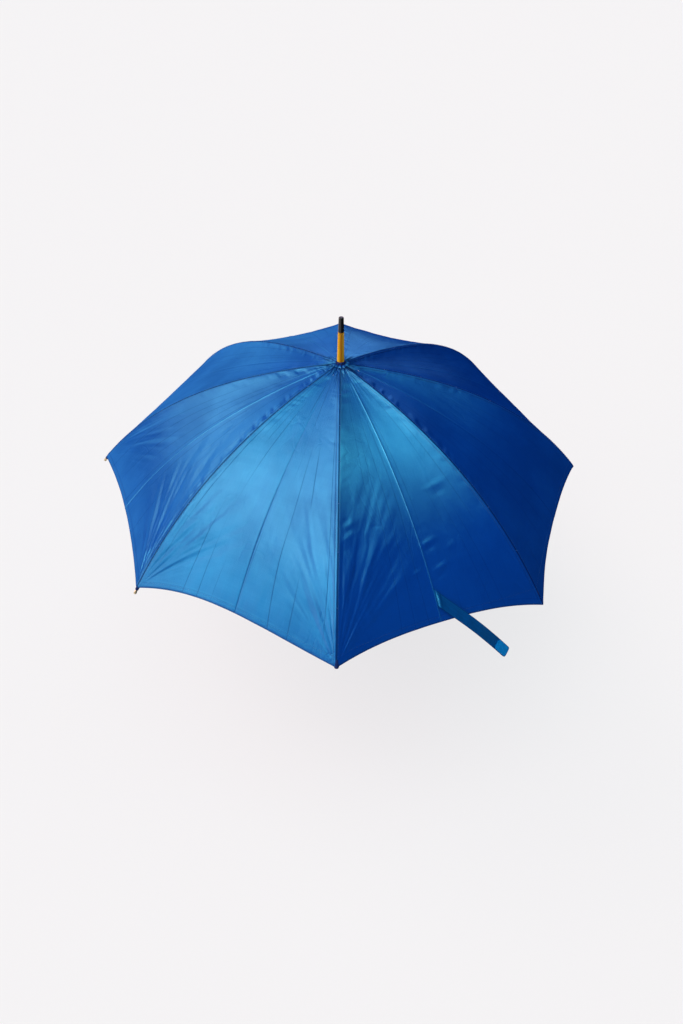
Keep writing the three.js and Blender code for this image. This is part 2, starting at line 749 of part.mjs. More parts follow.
// Closing strap and its patch
function strapFrame() {
  const root = panelPoint(0, canopyRadius * strapRootShare, 0, 0);
  const ways = ribWays(0.5);
  const end = root.clone().addScaledVector(ways.out, strapOut).addScaledVector(ways.along, strapAlong);
  end.z -= strapFall;
  const inward = panelPoint(0, canopyRadius * (strapRootShare - 1 / clothStations), 0, 0);
  const outward = root.clone().sub(inward).normalize();
  const normal = new THREE.Vector3().crossVectors(ways.along, outward).normalize();
  if (normal.z < 0) normal.negate();
  const reach = end.clone().sub(root);
  const lie = reach.addScaledVector(normal, -reach.dot(normal)).normalize();
  const start = root.clone().addScaledVector(normal, strapSeat);
  const edge = start.clone().addScaledVector(lie, strapLie);
  const droop = edge.clone().addScaledVector(lie, strapDroop);
  const curve = new THREE.CurvePath();
  curve.add(new THREE.LineCurve3(start, edge));
  curve.add(new THREE.QuadraticBezierCurve3(edge, droop, end));
  return { curve, normal };
}
const { curve: strapCurve, normal: strapNormal } = strapFrame();
function strapPoint(share, side, lift) {
  const centre = strapCurve.getPoint(share);
  const ahead = strapCurve.getTangent(share);
  const sideways = new THREE.Vector3().crossVectors(ahead, strapNormal).normalize();
  const up = new THREE.Vector3().crossVectors(sideways, ahead).normalize();
  return centre.addScaledVector(sideways, -side).addScaledVector(up, lift);
}
function makeStrap() {
  const pointAt = (i, j, depth) => strapPoint(i / strapSteps,
    strapWidth * (j - 1) / 2, strapThickness * (1 - depth));
  return sheet(pointAt, strapSteps, 2);
}
function makePatch() {
  const low = strapThickness + seatGap;
  const span = patchEndShare - patchStartShare;
  const pointAt = (i, j, depth) => strapPoint(patchStartShare + span * i / patchSteps,
    patchWidth * (j - 0.5), low + patchThickness * (1 - depth));
  return sheet(pointAt, patchSteps, 1);
}
place('strap', makeStrap(), blueSatin, upper);
place('strap_patch', makePatch(), patchPile, upper);

// Crook handle: straight grip, half a turn and a short upright end, with a socket for the shaft
function makeHandle() {
  const path = new THREE.CurvePath();
  const bendZ = -handleGripBelow;
  const endX = 2 * crookRadius;
  path.add(new THREE.LineCurve3(new THREE.Vector3(0, 0, handleTop), new THREE.Vector3(0, 0, bendZ)));
  const bend = new THREE.Curve();
  bend.getPoint = (t, target = new THREE.Vector3()) => target.set(
    crookRadius * (1 - Math.cos(Math.PI * t)), 0, bendZ - crookRadius * Math.sin(Math.PI * t));
  path.add(bend);
  const endZ = bendZ + crookEndLength;
  path.add(new THREE.LineCurve3(new THREE.Vector3(endX, 0, bendZ), new THREE.Vector3(endX, 0, endZ)));
  const section = new THREE.Shape().absarc(0, 0, handleRadius, 0, 2 * Math.PI);
  const tube = new THREE.ExtrudeGeometry(section, {
    steps: handleSteps, extrudePath: path, bevelEnabled: false, curveSegments: handleSides / 2,
  });
  const dome = [];
  for (let i = 0; i <= handleEndSteps; i += 1) {
    const lean = Math.PI / 2 * i / handleEndSteps;
    dome.push([handleRadius * Math.cos(lean), endZ + handleRadius * Math.sin(lean)]);
  }
  const stemZ = endZ - handleRadius;
  const end = revolve([[0, stemZ], [handleRadius - overrun, stemZ], ...dome], handleSides);
  const socket = revolve([
    [0, handleTop - socketDepth],
    [shaftRadius + seatGap, handleTop - socketDepth],
    [shaftRadius + seatGap, handleTop + overrun],
    [0, handleTop + overrun],
  ], handleSides);
  return geometryOf(solid(tube).add(solid(end.translate(endX, 0, 0))).subtract(solid(socket)));
}
place('handle', makeHandle(), handleWood, umbrella);

function makeHandleCollar() {
  const inner = shaftRadius + seatGap;
  return ring([
    [inner, handleCollarBottom],
    [handleCollarRadius, handleCollarBottom],
    [handleCollarRadius, handleCollarTop - handleCollarEdge],
    [handleCollarRadius - handleCollarEdge, handleCollarTop],
    [inner, handleCollarTop],
  ], flangeSides / 2);
}
place('handle_collar', makeHandleCollar(), goldPlate, umbrella);

export default umbrella;
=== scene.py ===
import bpy
import json
from math import atan2, cos, pi, radians, sin, sqrt
from mathutils import Matrix, Vector

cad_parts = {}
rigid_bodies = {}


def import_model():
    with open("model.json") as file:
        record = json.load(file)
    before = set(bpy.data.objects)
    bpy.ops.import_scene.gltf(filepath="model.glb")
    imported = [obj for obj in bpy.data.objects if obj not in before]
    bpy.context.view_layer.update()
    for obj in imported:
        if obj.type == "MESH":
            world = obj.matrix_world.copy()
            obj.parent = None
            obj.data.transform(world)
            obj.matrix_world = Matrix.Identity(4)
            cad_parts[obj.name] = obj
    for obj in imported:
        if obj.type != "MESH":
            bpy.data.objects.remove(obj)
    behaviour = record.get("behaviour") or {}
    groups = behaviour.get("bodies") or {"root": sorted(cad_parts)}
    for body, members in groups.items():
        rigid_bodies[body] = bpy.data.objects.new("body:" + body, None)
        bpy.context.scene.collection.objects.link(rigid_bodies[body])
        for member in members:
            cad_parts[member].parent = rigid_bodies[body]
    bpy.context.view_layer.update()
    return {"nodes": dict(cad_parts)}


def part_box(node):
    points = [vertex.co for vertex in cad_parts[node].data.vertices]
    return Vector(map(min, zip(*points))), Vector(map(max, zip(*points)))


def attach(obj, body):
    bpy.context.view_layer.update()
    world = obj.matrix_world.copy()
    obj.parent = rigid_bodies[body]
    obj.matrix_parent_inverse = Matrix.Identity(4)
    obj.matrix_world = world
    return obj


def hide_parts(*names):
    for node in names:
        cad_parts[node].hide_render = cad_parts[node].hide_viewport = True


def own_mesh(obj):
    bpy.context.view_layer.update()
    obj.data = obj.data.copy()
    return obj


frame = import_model()
nodes = frame["nodes"]
scene = bpy.context.scene
scene.view_settings.view_transform = "Standard"
print("frame loaded:", len(nodes), "nodes")

ribCount = 8
eighth = 2 * pi / ribCount
ribNumbers = range(1, ribCount + 1)


# One socket of a node tree, wrapped so that maths on it adds nodes
class Wire:
    def __init__(self, graph, socket):
        self.graph, self.socket = graph, socket

    def maths(self, operation, *values):
        return self.graph.node("ShaderNodeMath", {"operation": operation}, values)

    def __add__(self, other):
        return self.maths("ADD", self, other)

    def __radd__(self, other):
        return self.maths("ADD", other, self)

    def __sub__(self, other):
        return self.maths("SUBTRACT", self, other)

    def __rsub__(self, other):
        return self.maths("SUBTRACT", other, self)

    def __mul__(self, other):
        return self.maths("MULTIPLY", self, other)

    def __rmul__(self, other):
        return self.maths("MULTIPLY", other, self)

    def __truediv__(self, other):
        return self.maths("DIVIDE", self, other)

    def __rtruediv__(self, other):
        return self.maths("DIVIDE", other, self)

    def __pow__(self, other):
        return self.maths("POWER", self, other)

    def __neg__(self):
        return self.maths("MULTIPLY", self, -1.0)

    def sine(self):
        return self.maths("SINE", self)

    def cosine(self):
        return self.maths("COSINE", self)

    def least(self, other):
        return self.maths("MINIMUM", self, other)

    def most(self, other):
        return self.maths("MAXIMUM", self, other)

    def size(self):
        return self.maths("ABSOLUTE", self)

    def fraction(self):
        return self.maths("FRACT", self)

    def bell(self, width):  # 1 at nought, gone past width
        return self.maths("EXPONENT", -((self / width) ** 2.0))

    def ramp(self, start, end, low=0.0, high=1.0):  # smooth step from start to end
        return self.graph.node("ShaderNodeMapRange", {"interpolation_type": "SMOOTHSTEP"},
                               [self, start, end, low, high])

    def other(self, name):  # another output of the same node
        return Wire(self.graph, self.socket.node.outputs[name])

    def parts(self):
        split = self.graph.node("ShaderNodeSeparateXYZ", {}, [self])
        return split, split.other("Y"), split.other("Z")


class Graph:
    def __init__(self, tree):
        self.tree = tree

    def node(self, kind, settings=None, values=(), out=0):
        made = self.tree.nodes.new(kind)
        for name, value in (settings or {}).items():
            if name == "stops":
                self.setStops(made.color_ramp, value)
            else:
                setattr(made, name, value)
        sockets = [s for s in made.inputs if s.enabled]
        pairs = values.items() if isinstance(values, dict) else enumerate(values)
        for key, value in pairs:
            self.put(sockets[key] if isinstance(key, int) else next(s for s in sockets if s.name == key), value)
        return Wire(self, [s for s in made.outputs if s.enabled][out]) if made.outputs else made

    def put(self, socket, value):
        if isinstance(value, Wire):
            self.tree.links.new(value.socket, socket)
        elif value is not None:
            long = hasattr(value, "__len__") and socket.type == "RGBA" and len(value) == 3
            socket.default_value = (*value, 1.0) if long else value

    def setStops(self, ramp, stops):
        while len(ramp.elements) < len(stops):
            ramp.elements.new(1.0)
        for element, (place, colour) in zip(ramp.elements, stops):
            element.position = place
            element.color = (*colour, 1.0) if hasattr(colour, "__len__") else (colour, colour, colour, 1.0)

    def vector(self, x=0.0, y=0.0, z=0.0):
        return self.node("ShaderNodeCombineXYZ", {}, [x, y, z])

    def blend(self, factor, a, b):
        return self.node("ShaderNodeMix", {"data_type": "RGBA"}, [factor, a, b])

    def noise(self, place, scale, detail=2.0, roughness=0.5, distortion=0.0):
        return self.node("ShaderNodeTexNoise", {}, {"Vector": place, "Scale": scale, "Detail": detail,
                                                    "Roughness": roughness, "Distortion": distortion})

    def cloud(self, x, y, z, detail=2.0, roughness=0.5, distortion=0.0):  # noise over stretched coordinates
        return self.noise(self.vector(x, y, z), 1.0, detail, roughness, distortion)

    def here(self):  # the place on the piece
        return self.node("ShaderNodeTexCoord", {}, out=3)

    def bump(self, height, strength):
        return self.node("ShaderNodeBump", {}, {"Strength": strength, "Distance": 1.0, "Height": height})

    def principled(self, colour, roughness, normal, others=None):
        return self.node("ShaderNodeBsdfPrincipled", {}, {
            "Base Color": colour, "Roughness": roughness, "Normal": normal, **(others or {})})

    def mixed(self, share, first, second):
        return self.node("ShaderNodeMixShader", {}, [share, first, second])

    def moved(self, geometry, place):
        return self.node("GeometryNodeSetPosition", {}, {"Geometry": geometry, "Position": place})

    def facing(self, here, there):  # the turn that points a piece's X from one place to the next
        ahead = self.node("ShaderNodeVectorMath", {"operation": "SUBTRACT"}, [there, here])
        return self.node("FunctionNodeAlignRotationToVector", {"axis": "X"}, {"Vector": ahead})

    def keep(self, geometry, name, value, kind="FLOAT", domain="POINT"):  # kept on the mesh for its material
        return self.node("GeometryNodeStoreNamedAttribute", {"data_type": kind, "domain": domain},
                         {"Geometry": geometry, "Name": name, "Value": value})

    def clothMarks(self, geometry, single, panel, uv):  # what satinShader reads
        for name, value in single.items():
            geometry = self.keep(geometry, name, value)
        geometry = self.keep(geometry, "panel", panel, "FLOAT_VECTOR")
        return self.keep(geometry, "clothUV", uv, "FLOAT2", "CORNER")


def madeMaterial(name, build):
    material = bpy.data.materials.new(name)
    material.use_nodes = True
    material.node_tree.nodes.clear()
    graph = Graph(material.node_tree)
    shader = build(graph)
    graph.node("ShaderNodeOutputMaterial", {}, {"Surface": shader})
    return material


def socketsOf(values):
    return [(name, "Int" if isinstance(value, int) else "Float") for name, value in values.items()]


def treeOf(name, inputs):
    graph = Graph(bpy.data.node_groups.new(name, "GeometryNodeTree"))
    sockets, graph.ids = graph.tree.interface, {}
    for label, kind in inputs + [("Material", "Material")]:
        socket = sockets.new_socket(name=label, in_out="INPUT", socket_type="NodeSocket" + kind)
        graph.ids[label] = socket.identifier
    sockets.new_socket(name="Geometry", in_out="OUTPUT", socket_type="NodeSocketGeometry")
    given = graph.tree.nodes.new("NodeGroupInput")
    return graph, {label: Wire(graph, given.outputs[label]) for label in graph.ids}


def ended(graph, geometry, material):
    smooth = graph.node("GeometryNodeSetShadeSmooth", {}, {"Geometry": geometry, "Shade Smooth": True})
    whole = graph.node("GeometryNodeRealizeInstances", {}, {"Geometry": smooth})
    dressed = graph.node("GeometryNodeSetMaterial", {}, {"Geometry": whole, "Material": material})
    graph.node("NodeGroupOutput", {}, [dressed])
    return graph


def bakedFrom(recipe, name, values, finishing=None):
    carrier = bpy.data.meshes.new(name + "_carrier")
    maker = bpy.data.objects.new(name, carrier)
    scene.collection.objects.link(maker)
    modifier = maker.modifiers.new("nodes", "NODES")
    modifier.node_group = recipe.tree
    for label, value in values.items():
        modifier[recipe.ids[label]] = value
    if finishing:
        finishing(maker)
    graph = bpy.context.evaluated_depsgraph_get()
    mesh = bpy.data.meshes.new_from_object(maker.evaluated_get(graph), preserve_all_data_layers=True,
                                           depsgraph=graph)
    if mesh.materials[0] is None:  # Set Material leaves an empty slot before its own
        mesh.materials.pop(index=0)
    maker.modifiers.clear()
    maker.data = mesh
    bpy.data.meshes.remove(carrier)
    return maker


def meshObject(name, points, faces, material, smooth=True):
    mesh = bpy.data.meshes.new(name)
    mesh.from_pydata([tuple(p) for p in points], [], faces)
    mesh.materials.append(material)
    if smooth:
        mesh.shade_smooth()
    piece = bpy.data.objects.new(name, mesh)
    scene.collection.objects.link(piece)
    return piece


# Measures of the canopy, in metres
canopy = {
    "radius": 0.512, "rise": 0.247, "crownSlope": 0.247, "bow": 0.423, "hole": 0.0082, "cornerShare": 0.992,
    "sag": 0.0087, "sagOut": 0.45, "sagUp": 0.89, "scallop": 0.024,
    "rowEase": 0.6, "columnEase": 0.6, "sheet": 0.0005, "groove": 0.0006, "grooveWidth": 0.0016,
    "band": 0.00035, "bandWidth": 0.0056, "hemWidth": 0.0085, "hemLift": 0.00022, "seed": 11.0,
}
corner = canopy["radius"] * canopy["cornerShare"]
rim = 1 - canopy["crownSlope"] - canopy["bow"]
panelSizes = {"Rows": 200, "Columns": 84, "Hole Radius": canopy["hole"], "Corner Radius": corner,
              "Band Width": canopy["bandWidth"], "Hem Width": canopy["hemWidth"]}


def dropAt(radius):
    u = radius / canopy["radius"]
    return canopy["rise"] * (canopy["crownSlope"] * u + canopy["bow"] * u ** 2 + rim * u ** 4)


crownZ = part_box("gore_1")[1].z + dropAt(canopy["hole"])


def azimuthOf(number):
    return (number - 1) * eighth


def outward(azimuth):
    return Vector((sin(azimuth), -cos(azimuth), 0))


def sideways(azimuth):
    return Vector((cos(azimuth), sin(azimuth), 0))


# panel k lies between ribs k - 1 and k. These curve in more or less at the hem, or more at one end, or sag
# more or less than the others
scallopOf = {1: 0.0260, 2: 0.011, 3: 0.012, 8: 0.028}
skewOf = {1: 0.95, 2: 0.9}
sagOf = {4: 0.0130, 7: 0.0064}


def clothPoint(station, t):  # the rule of surfaceWires for panel 2, from rib 1 at t = 0 to its crease at 0.5
    bay = 1 - (2 * t - 1) ** 2
    radius = station * (1 - scallopOf[2] * bay)
    sag = canopy["sag"] * sin(pi * min(radius / canopy["radius"], 1)) * bay
    x = radius * (1 - t * (1 - cos(eighth))) - sag * canopy["sagOut"] * cos(eighth / 2)
    y = radius * t * sin(eighth) - sag * canopy["sagOut"] * sin(eighth / 2)
    place = outward(0) * x + sideways(0) * y
    place.z = crownZ - dropAt(radius) - sag * canopy["sagUp"]
    return place


def surfaceValues(azimuth, side, gore=1):
    return {"Canopy Radius": canopy["radius"], "Rise": canopy["rise"], "Sag": sagOf.get(gore, canopy["sag"]),
            "Scallop": scallopOf.get(gore, canopy["scallop"]), "Scallop Skew": skewOf.get(gore, 0.0),
            "Crown Height": crownZ, "Azimuth": azimuth, "Side": side}


surfaceInputs = socketsOf(surfaceValues(0.0, 1.0))


def surfaceWires(graph, given, station, t, lift=0.0):  # position on the cloth, lift square to it
    bay = 1.0 - (2.0 * t - 1.0) ** 2.0
    uneven = 1.0 - given["Scallop Skew"] * given["Side"] * (2.0 * t - 1.0)
    radius = station * (1.0 - given["Scallop"] * bay * uneven)
    u = radius / given["Canopy Radius"]
    drop = given["Rise"] * (canopy["crownSlope"] * u + canopy["bow"] * u * u + rim * u ** 4.0)
    slope = canopy["crownSlope"] + 2 * canopy["bow"] * u + 4 * rim * u ** 3.0
    steep = given["Rise"] / given["Canopy Radius"] * slope
    sag = given["Sag"] * (pi * u.least(1.0)).sine() * bay
    x = radius * (1.0 - t * (1 - cos(eighth)))
    y = radius * t * sin(eighth)
    x = x - sag * (canopy["sagOut"] * cos(eighth / 2))
    y = y - sag * (canopy["sagOut"] * sin(eighth / 2))
    z = given["Crown Height"] - drop - sag * canopy["sagUp"]
    length = (1.0 + steep * steep) ** 0.5
    reach = (x * x + y * y) ** 0.5
    outX, outY = x / reach, y / reach
    x = x + outX * steep / length * lift
    y = y + outY * steep / length * lift
    z = z + lift / length
    turn = given["Azimuth"]
    across = y * given["Side"]
    east = x * turn.sine() + across * turn.cosine()
    north = across * turn.sine() - x * turn.cosine()
    return graph.vector(east, north, z), y


# deep and bright are the cloth's own tones; line is the colour of its painted shade, ridge of a painted highlight
# on crease ridges
clothLook = {
    "deep": (0.0003, 0.039, 0.285), "bright": (0.0005, 0.053, 0.370), "line": (0.0006, 0.0050, 0.060),
    "lustre": (0.098, 0.462, 0.615), "lustreShare": 0.25, "roughness": 0.35, "ridge": (0.020, 0.22, 0.62),
    "hairs": 13.0,
}
marks = {  # what the material draws on the cloth: widths, depths and pitches in metres
    "hairWide": 0.0006, "hairDeep": 0.00025, "creaseWide": 0.0008, "valleyDeep": 0.0004, "ridgeHigh": 0.0006,
    "crinkleDeep": 0.00030, "crinkleBand": 0.05, "wrinkleHigh": 0.0011, "slubHigh": 0.00012,
    "weaveHigh": 0.00002, "warpPitch": 0.00042, "weftPitch": 0.0006, "seamShade": 0.0014,
    "hemShade": (0.0012, 0.0022, 1.0, 0.0), "hemRow": 0.0006, "fromCrown": (0.03, 0.09),
    "gatherAlong": (0.070, 0.026), "gatherAcross": (0.018, 0.002, 0.25, 1.0),
}
# lustre of panels cut on another grain; below 1 the panel's colour is also darkened as painted shade. What goes
# beyond 1 fades out between these distances from the crown
sheenOf = {2: 1.25, 3: 0.62, 4: 0.30, 5: 1.9, 6: 1.15}
sheenLean = {2: 0.7}  # and more of it beside the panel's first rib
sheenFade = (0.40, 0.20)
paintedPanelShade = 0.7  # painted shade: how far a panel without lustre goes to the line colour


def attribute(graph, name):
    return graph.node("ShaderNodeAttribute", {"attribute_name": name}, out=2)


def satinShader(graph, look=clothLook):
    u, v, unused = graph.node("ShaderNodeUVMap", {"uv_map": "clothUV"}).parts()
    seam, hem, edge, sheen = (attribute(graph, name) for name in ("seamGap", "hemGap", "bandEdge", "sheen"))
    seed, creased, lined = graph.node("ShaderNodeAttribute", {"attribute_name": "panel"}, out=1).parts()
    station = (v - seed).most(0.01)
    across = u / (station * sin(eighth))  # -0.5 to 0.5 over the panel
    slub = graph.cloud(u * 9.0, v * 260.0, 0.0, 3.0, 0.6)
    grain = graph.cloud(u * 420.0, v * 30.0, 0.0)
    cloudy = graph.noise(graph.vector(u, v, 0.0), 7.0, 3.0, 0.55)
    tone = (0.07 * slub + 0.08 * grain + 0.85 * cloudy).ramp(0.34, 0.66)

    # hairline creases that run from the crown down the panel, each with its own beginning and end
    wander = graph.cloud(across * 2.6, station * 1.6, seed * 2.9)
    phase = across * look["hairs"] + 2.4 * wander
    beside = ((phase.fraction() - 0.5) * station * (sin(eighth) / look["hairs"])).size()
    number = phase - phase.fraction()
    there = graph.cloud(number * 7.3, station * 4.0, seed * 0.7, 1.0).ramp(0.47, 0.60)
    belowCrown = station.ramp(*marks["fromCrown"])
    hair = beside.bell(marks["hairWide"]) * there * lined * belowCrown * across.size().ramp(0.49, 0.44)
    # the crease where the panel was folded in two, with painted shade in a valley and a painted highlight on a
    # ridge
    crease = u.bell(marks["creaseWide"]) * belowCrown
    valley = crease * (-creased).most(0.0) * station.ramp(0.10, 0.45, 0.25, 1.0)
    ridge = crease * creased.most(0.0)
    # short crinkles in patches
    crinkle = graph.cloud(u * 30.0, v * 16.0, 7.0, 2.0, 0.5, 0.8)
    patches = graph.cloud(u * 9.0, v * 6.0, 2.0, 1.0).ramp(0.5, 0.62)
    crinkle = (1.0 - (crinkle - 0.5).size() / marks["crinkleBand"]).most(0.0) * patches
    # shadows between the gathers at the crown
    gather = graph.cloud(across * 13.0, station * 22.0, seed * 1.1, 2.0, 0.6).ramp(0.50, 0.58)
    gather = gather * station.ramp(*marks["gatherAlong"]) * seam.ramp(*marks["gatherAcross"])
    gather = gather * lined.ramp(0.0, 0.3)

    # painted shade beside the seams, along the hem's edge and its fold, at the band's edge, in hairlines and crease
    # valleys and between the gathers; it also takes lustre away there
    dark = (seam.bell(marks["seamShade"]) * 0.9).most(hem.ramp(*marks["hemShade"]) * 0.45)
    dark = dark.most((hem - canopy["hemWidth"]).bell(marks["hemRow"]) * 0.15).most(edge * 0.4)
    dark = dark.most(hair * 0.5).most(valley * 0.45).most(gather)
    colour = graph.blend(tone, look["deep"], look["bright"])
    colour = graph.blend(dark, colour, look["line"])
    # painted highlight along crease ridges
    colour = graph.blend(ridge * 0.3, colour, look["ridge"])
    # painted shade on panels whose lustre is below 1
    colour = graph.blend((1.0 - sheen).most(0.0) * paintedPanelShade, colour, look["line"])
    rough = look["roughness"] + 0.05 * (cloudy - 0.5) + 0.25 * dark
    warp, weft = (u * (2 * pi / marks["warpPitch"])).sine(), (v * (2 * pi / marks["weftPitch"])).sine()
    wrinkles = graph.cloud(u * 22.0, v * 12.0, 3.0, 4.0, 0.62, 0.6)
    height = marks["weaveHigh"] * (warp * 0.6 + weft) + marks["wrinkleHigh"] * (wrinkles - 0.5)
    height = height + marks["slubHigh"] * (slub - 0.5) - marks["hairDeep"] * hair
    height = height - marks["crinkleDeep"] * crinkle + marks["ridgeHigh"] * ridge - marks["valleyDeep"] * valley
    normal = graph.bump(height, 0.5)
    body = graph.principled(colour, 0.8, normal, {"Specular IOR Level": 0.0})
    lustre = graph.node("ShaderNodeBsdfAnisotropic", {"distribution": "BECKMANN"}, {
        "Color": look["lustre"], "Roughness": rough, "Normal": normal})
    share = look["lustreShare"] * (0.8 + 0.4 * tone) * (1.0 - 0.85 * dark) * (1.0 + 0.5 * ridge) * sheen
    return graph.mixed(share, body, lustre)


satin = madeMaterial("satinCloth", satinShader)

relief = {  # heights and widths in metres
    "fan": 0.0032, "fanReach": 0.095, "fanLines": 17.0, "radial": 0.0009, "radialReach": 0.16,
    "pucker": 0.0008, "puckerPitch": 0.0165, "puckerFrom": 0.009, "puckerWide": 0.008,
    "folds": 0.0030, "foldSize": 6.0, "fine": 0.00018, "crease": 0.0004, "creaseWide": 0.0022,
    "gather": 0.0017, "hemRoll": 0.0008, "hemRollWide": 0.0016, "bandEdge": 0.0009,
}
reliefInputs = [(name, "Float") for name in ("Seed", "Fan", "Pucker", "Crease", "Folds", "Dimples", "Lines",
                                             "Sheen", "Sheen Lean", "Corner Droop")]
# fan and pucker strength at the two sides of each rib
fanAt = {1: (0.9, 1.2), 2: (0.35, 0.2), 3: (0.2, 0.35), 4: (0.5, 0.5), 5: (0.5, 0.5), 6: (0.5, 0.5),
         7: (0.5, 0.6), 8: (2.3, 0.85)}
puckerAt = {1: (0.4, 0.4), 2: (0.5, 1.6), 3: (0.8, 0.6), 4: (0.7, 0.7), 5: (0.7, 0.7), 6: (0.7, 0.7),
            7: (0.7, 0.7), 8: (2.2, 0.5)}
creaseOf = {1: -1.0, 2: 1.0, 3: -0.8, 4: 0.8, 5: -0.8, 6: 0.9, 7: -0.9, 8: 1.2}  # a ridge, or a valley below 0
linesOf = {1: 1.0, 2: 0.55, 3: 0.5, 4: 0.5, 5: 0.9, 6: 0.6, 7: 0.6, 8: 0.8}  # strength of a panel's hairlines
droopAt = {1: 0.0050, 2: 0.0165, 3: 0.0075}  # the cloth reaches this much further over these ribs' ends
# dents in the panel with the strap: across from its crease, along, half sizes, height
dimples = [
    (-0.102, 0.340, 0.010, 0.0040, 0.0009), (-0.108, 0.357, 0.010, 0.0036, 0.0008),
    (-0.113, 0.374, 0.008, 0.0036, -0.0004), (0.060, 0.312, 0.018, 0.0042, 0.0008),
    (0.062, 0.326, 0.012, 0.0040, -0.0004), (0.013, 0.400, 0.012, 0.0034, 0.0013),
    (0.014, 0.409, 0.010, 0.0030, -0.0006), (0.024, 0.438, 0.013, 0.0038, 0.0013),
    (0.020, 0.450, 0.010, 0.0034, -0.0007), (-0.019, 0.438, 0.008, 0.0030, 0.0010),
    (0.050, 0.412, 0.008, 0.0030, 0.0006), (-0.112, 0.468, 0.006, 0.0120, 0.0009),
]


def clothTree():
    graph, given = treeOf("canopyHalfPanel", surfaceInputs + reliefInputs + socketsOf(panelSizes))
    grid = graph.node("GeometryNodeMeshGrid", {}, [1.0, 1.0, given["Columns"] + 1.0, given["Rows"] + 1.0])
    s, q, unused = grid.other("UV Map").parts()
    v = q - (2 * pi * q).sine() * (canopy["rowEase"] / (2 * pi))
    t = 0.5 * (s * (1 - canopy["columnEase"]) + canopy["columnEase"] * s * s)
    side, seed, bandWidth = given["Side"], given["Seed"], given["Band Width"]
    bay = 1.0 - (2.0 * t - 1.0) ** 2.0
    reached = given["Corner Radius"] + given["Corner Droop"] * (1.0 - 2.0 * t) ** 3.0
    station = given["Hole Radius"] + (reached - given["Hole Radius"]) * v
    unused, seamGap = surfaceWires(graph, given, station, t)
    hemGap = reached - station
    c = 0.5 + side * (t - 0.5)  # across the whole panel, the same for its two halves
    width = station * sin(eighth) * (c - 0.5)
    minus = side.maths("LESS_THAN", side, 0.0)

    # groove at the seam, folded band beside it and folded hem
    groove = -canopy["groove"] * seamGap.bell(canopy["grooveWidth"])
    band = minus * canopy["band"] * seamGap.ramp(0.0006, 0.0014)
    band = band * seamGap.ramp(bandWidth, bandWidth + relief["bandEdge"], 1.0, 0.0)
    hem = canopy["hemLift"] * hemGap.ramp(given["Hem Width"], given["Hem Width"] + 0.0011, 1.0, 0.0)
    hem = hem - relief["hemRoll"] * hemGap.bell(relief["hemRollWide"])
    # folds that run out from the rib's tip
    down = hemGap * 1.12
    far = (seamGap * seamGap + down * down + 1e-9) ** 0.5
    angle = seamGap.maths("ARCTAN2", seamGap, down)
    fanNoise = graph.cloud(angle * relief["fanLines"] / 3.0, far * 7.0, seed * 3.1 + side * 7.0, 2.0, 0.55, 0.25)
    reach = far / relief["fanReach"]
    fan = given["Fan"] * relief["fan"] * (fanNoise - 0.5) * 2.0 * (reach * reach.maths("EXPONENT", 1.0 - reach))
    fan = fan * seamGap.ramp(0.0, 0.010) * t.ramp(0.3, 0.5, 1.0, 0.0) * angle.ramp(1.25, 0.7)
    # fine lines that run out from the crown
    spread = graph.cloud(c * 16.0, station * 2.5, seed * 1.7, 3.0, 0.6)
    radial = relief["radial"] * (spread - 0.5) * 2.0 * bay.ramp(0.0, 0.5)
    radial = radial * station.ramp(relief["radialReach"], 0.02)
    # stitches pull the cloth beside the seam into small dents
    tucks = graph.cloud(station / relief["puckerPitch"], side * 5.0, seed * 2.3, 1.0).ramp(0.42, 0.6)
    pucker = given["Pucker"] * relief["pucker"] * (tucks - 0.5) * 2.0
    pucker = pucker * (seamGap - relief["puckerFrom"]).bell(relief["puckerWide"]) * seamGap.ramp(0.001, 0.006)
    pucker = pucker * station.ramp(0.42, 0.16, 0.25, 1.0) * station.ramp(0.02, 0.05)
    # long soft folds and finer ones, tight at the ribs
    foldSize = relief["foldSize"]
    soft = graph.cloud(width * foldSize * 2.6, station * foldSize, seed * 1.3, 3.0, 0.5, 0.4)
    folds = given["Folds"] * relief["folds"] * (soft - 0.5) * bay * station.ramp(0.02, 0.2)
    fine = graph.cloud(width * 30.0, station * 11.0, seed * 1.9, 2.0, 0.5, 1.2).ramp(0.58, 0.72)
    folds = folds + given["Folds"] * relief["fine"] * fine * bay * station.ramp(0.05, 0.2)
    # the crease where the panel was folded in two
    crease = given["Crease"] * relief["crease"] * width.bell(relief["creaseWide"]) * station.ramp(0.03, 0.09)
    # gathers under the collar
    bunch = graph.cloud(c * 4.0, station * 55.0, seed * 0.9, 2.0, 0.6, 0.8)
    pleats = (c * (2 * pi * 3.0)).cosine() * 0.5 + (bunch - 0.5) * 3.0
    pleats = pleats * relief["gather"] * station.ramp(0.052, 0.015) * bay.ramp(0.0, 0.4)
    dents = 0.0
    for acrossAt, alongAt, halfWide, halfLong, height in dimples:
        beside = width - acrossAt
        dents = dents + height * beside.bell(halfWide) * (station - alongAt + 0.25 * beside).bell(halfLong)
    dents = given["Dimples"] * dents
    lift = groove + band + hem + fan + radial + pucker + folds + crease + pleats + dents

    extra = (given["Sheen"] - 1.0).most(0.0) + given["Sheen Lean"] * (1.0 - 2.0 * c).most(0.0)
    sheen = given["Sheen"].least(1.0) + extra * station.ramp(*sheenFade)
    # painted shade along the folded band's edge
    edge = minus * (seamGap - bandWidth).bell(relief["bandEdge"])
    place, unused = surfaceWires(graph, given, station, t, lift)
    marked = graph.clothMarks(graph.moved(grid, place), {
        "seamGap": seamGap, "hemGap": hemGap, "bandEdge": edge, "sheen": sheen},
        graph.vector(seed, given["Crease"], given["Lines"]), graph.vector(width, station + seed, 0.0))
    turned = graph.node("GeometryNodeFlipFaces", {}, [marked, side.maths("GREATER_THAN", side, 0.0)])
    return ended(graph, turned, given["Material"])


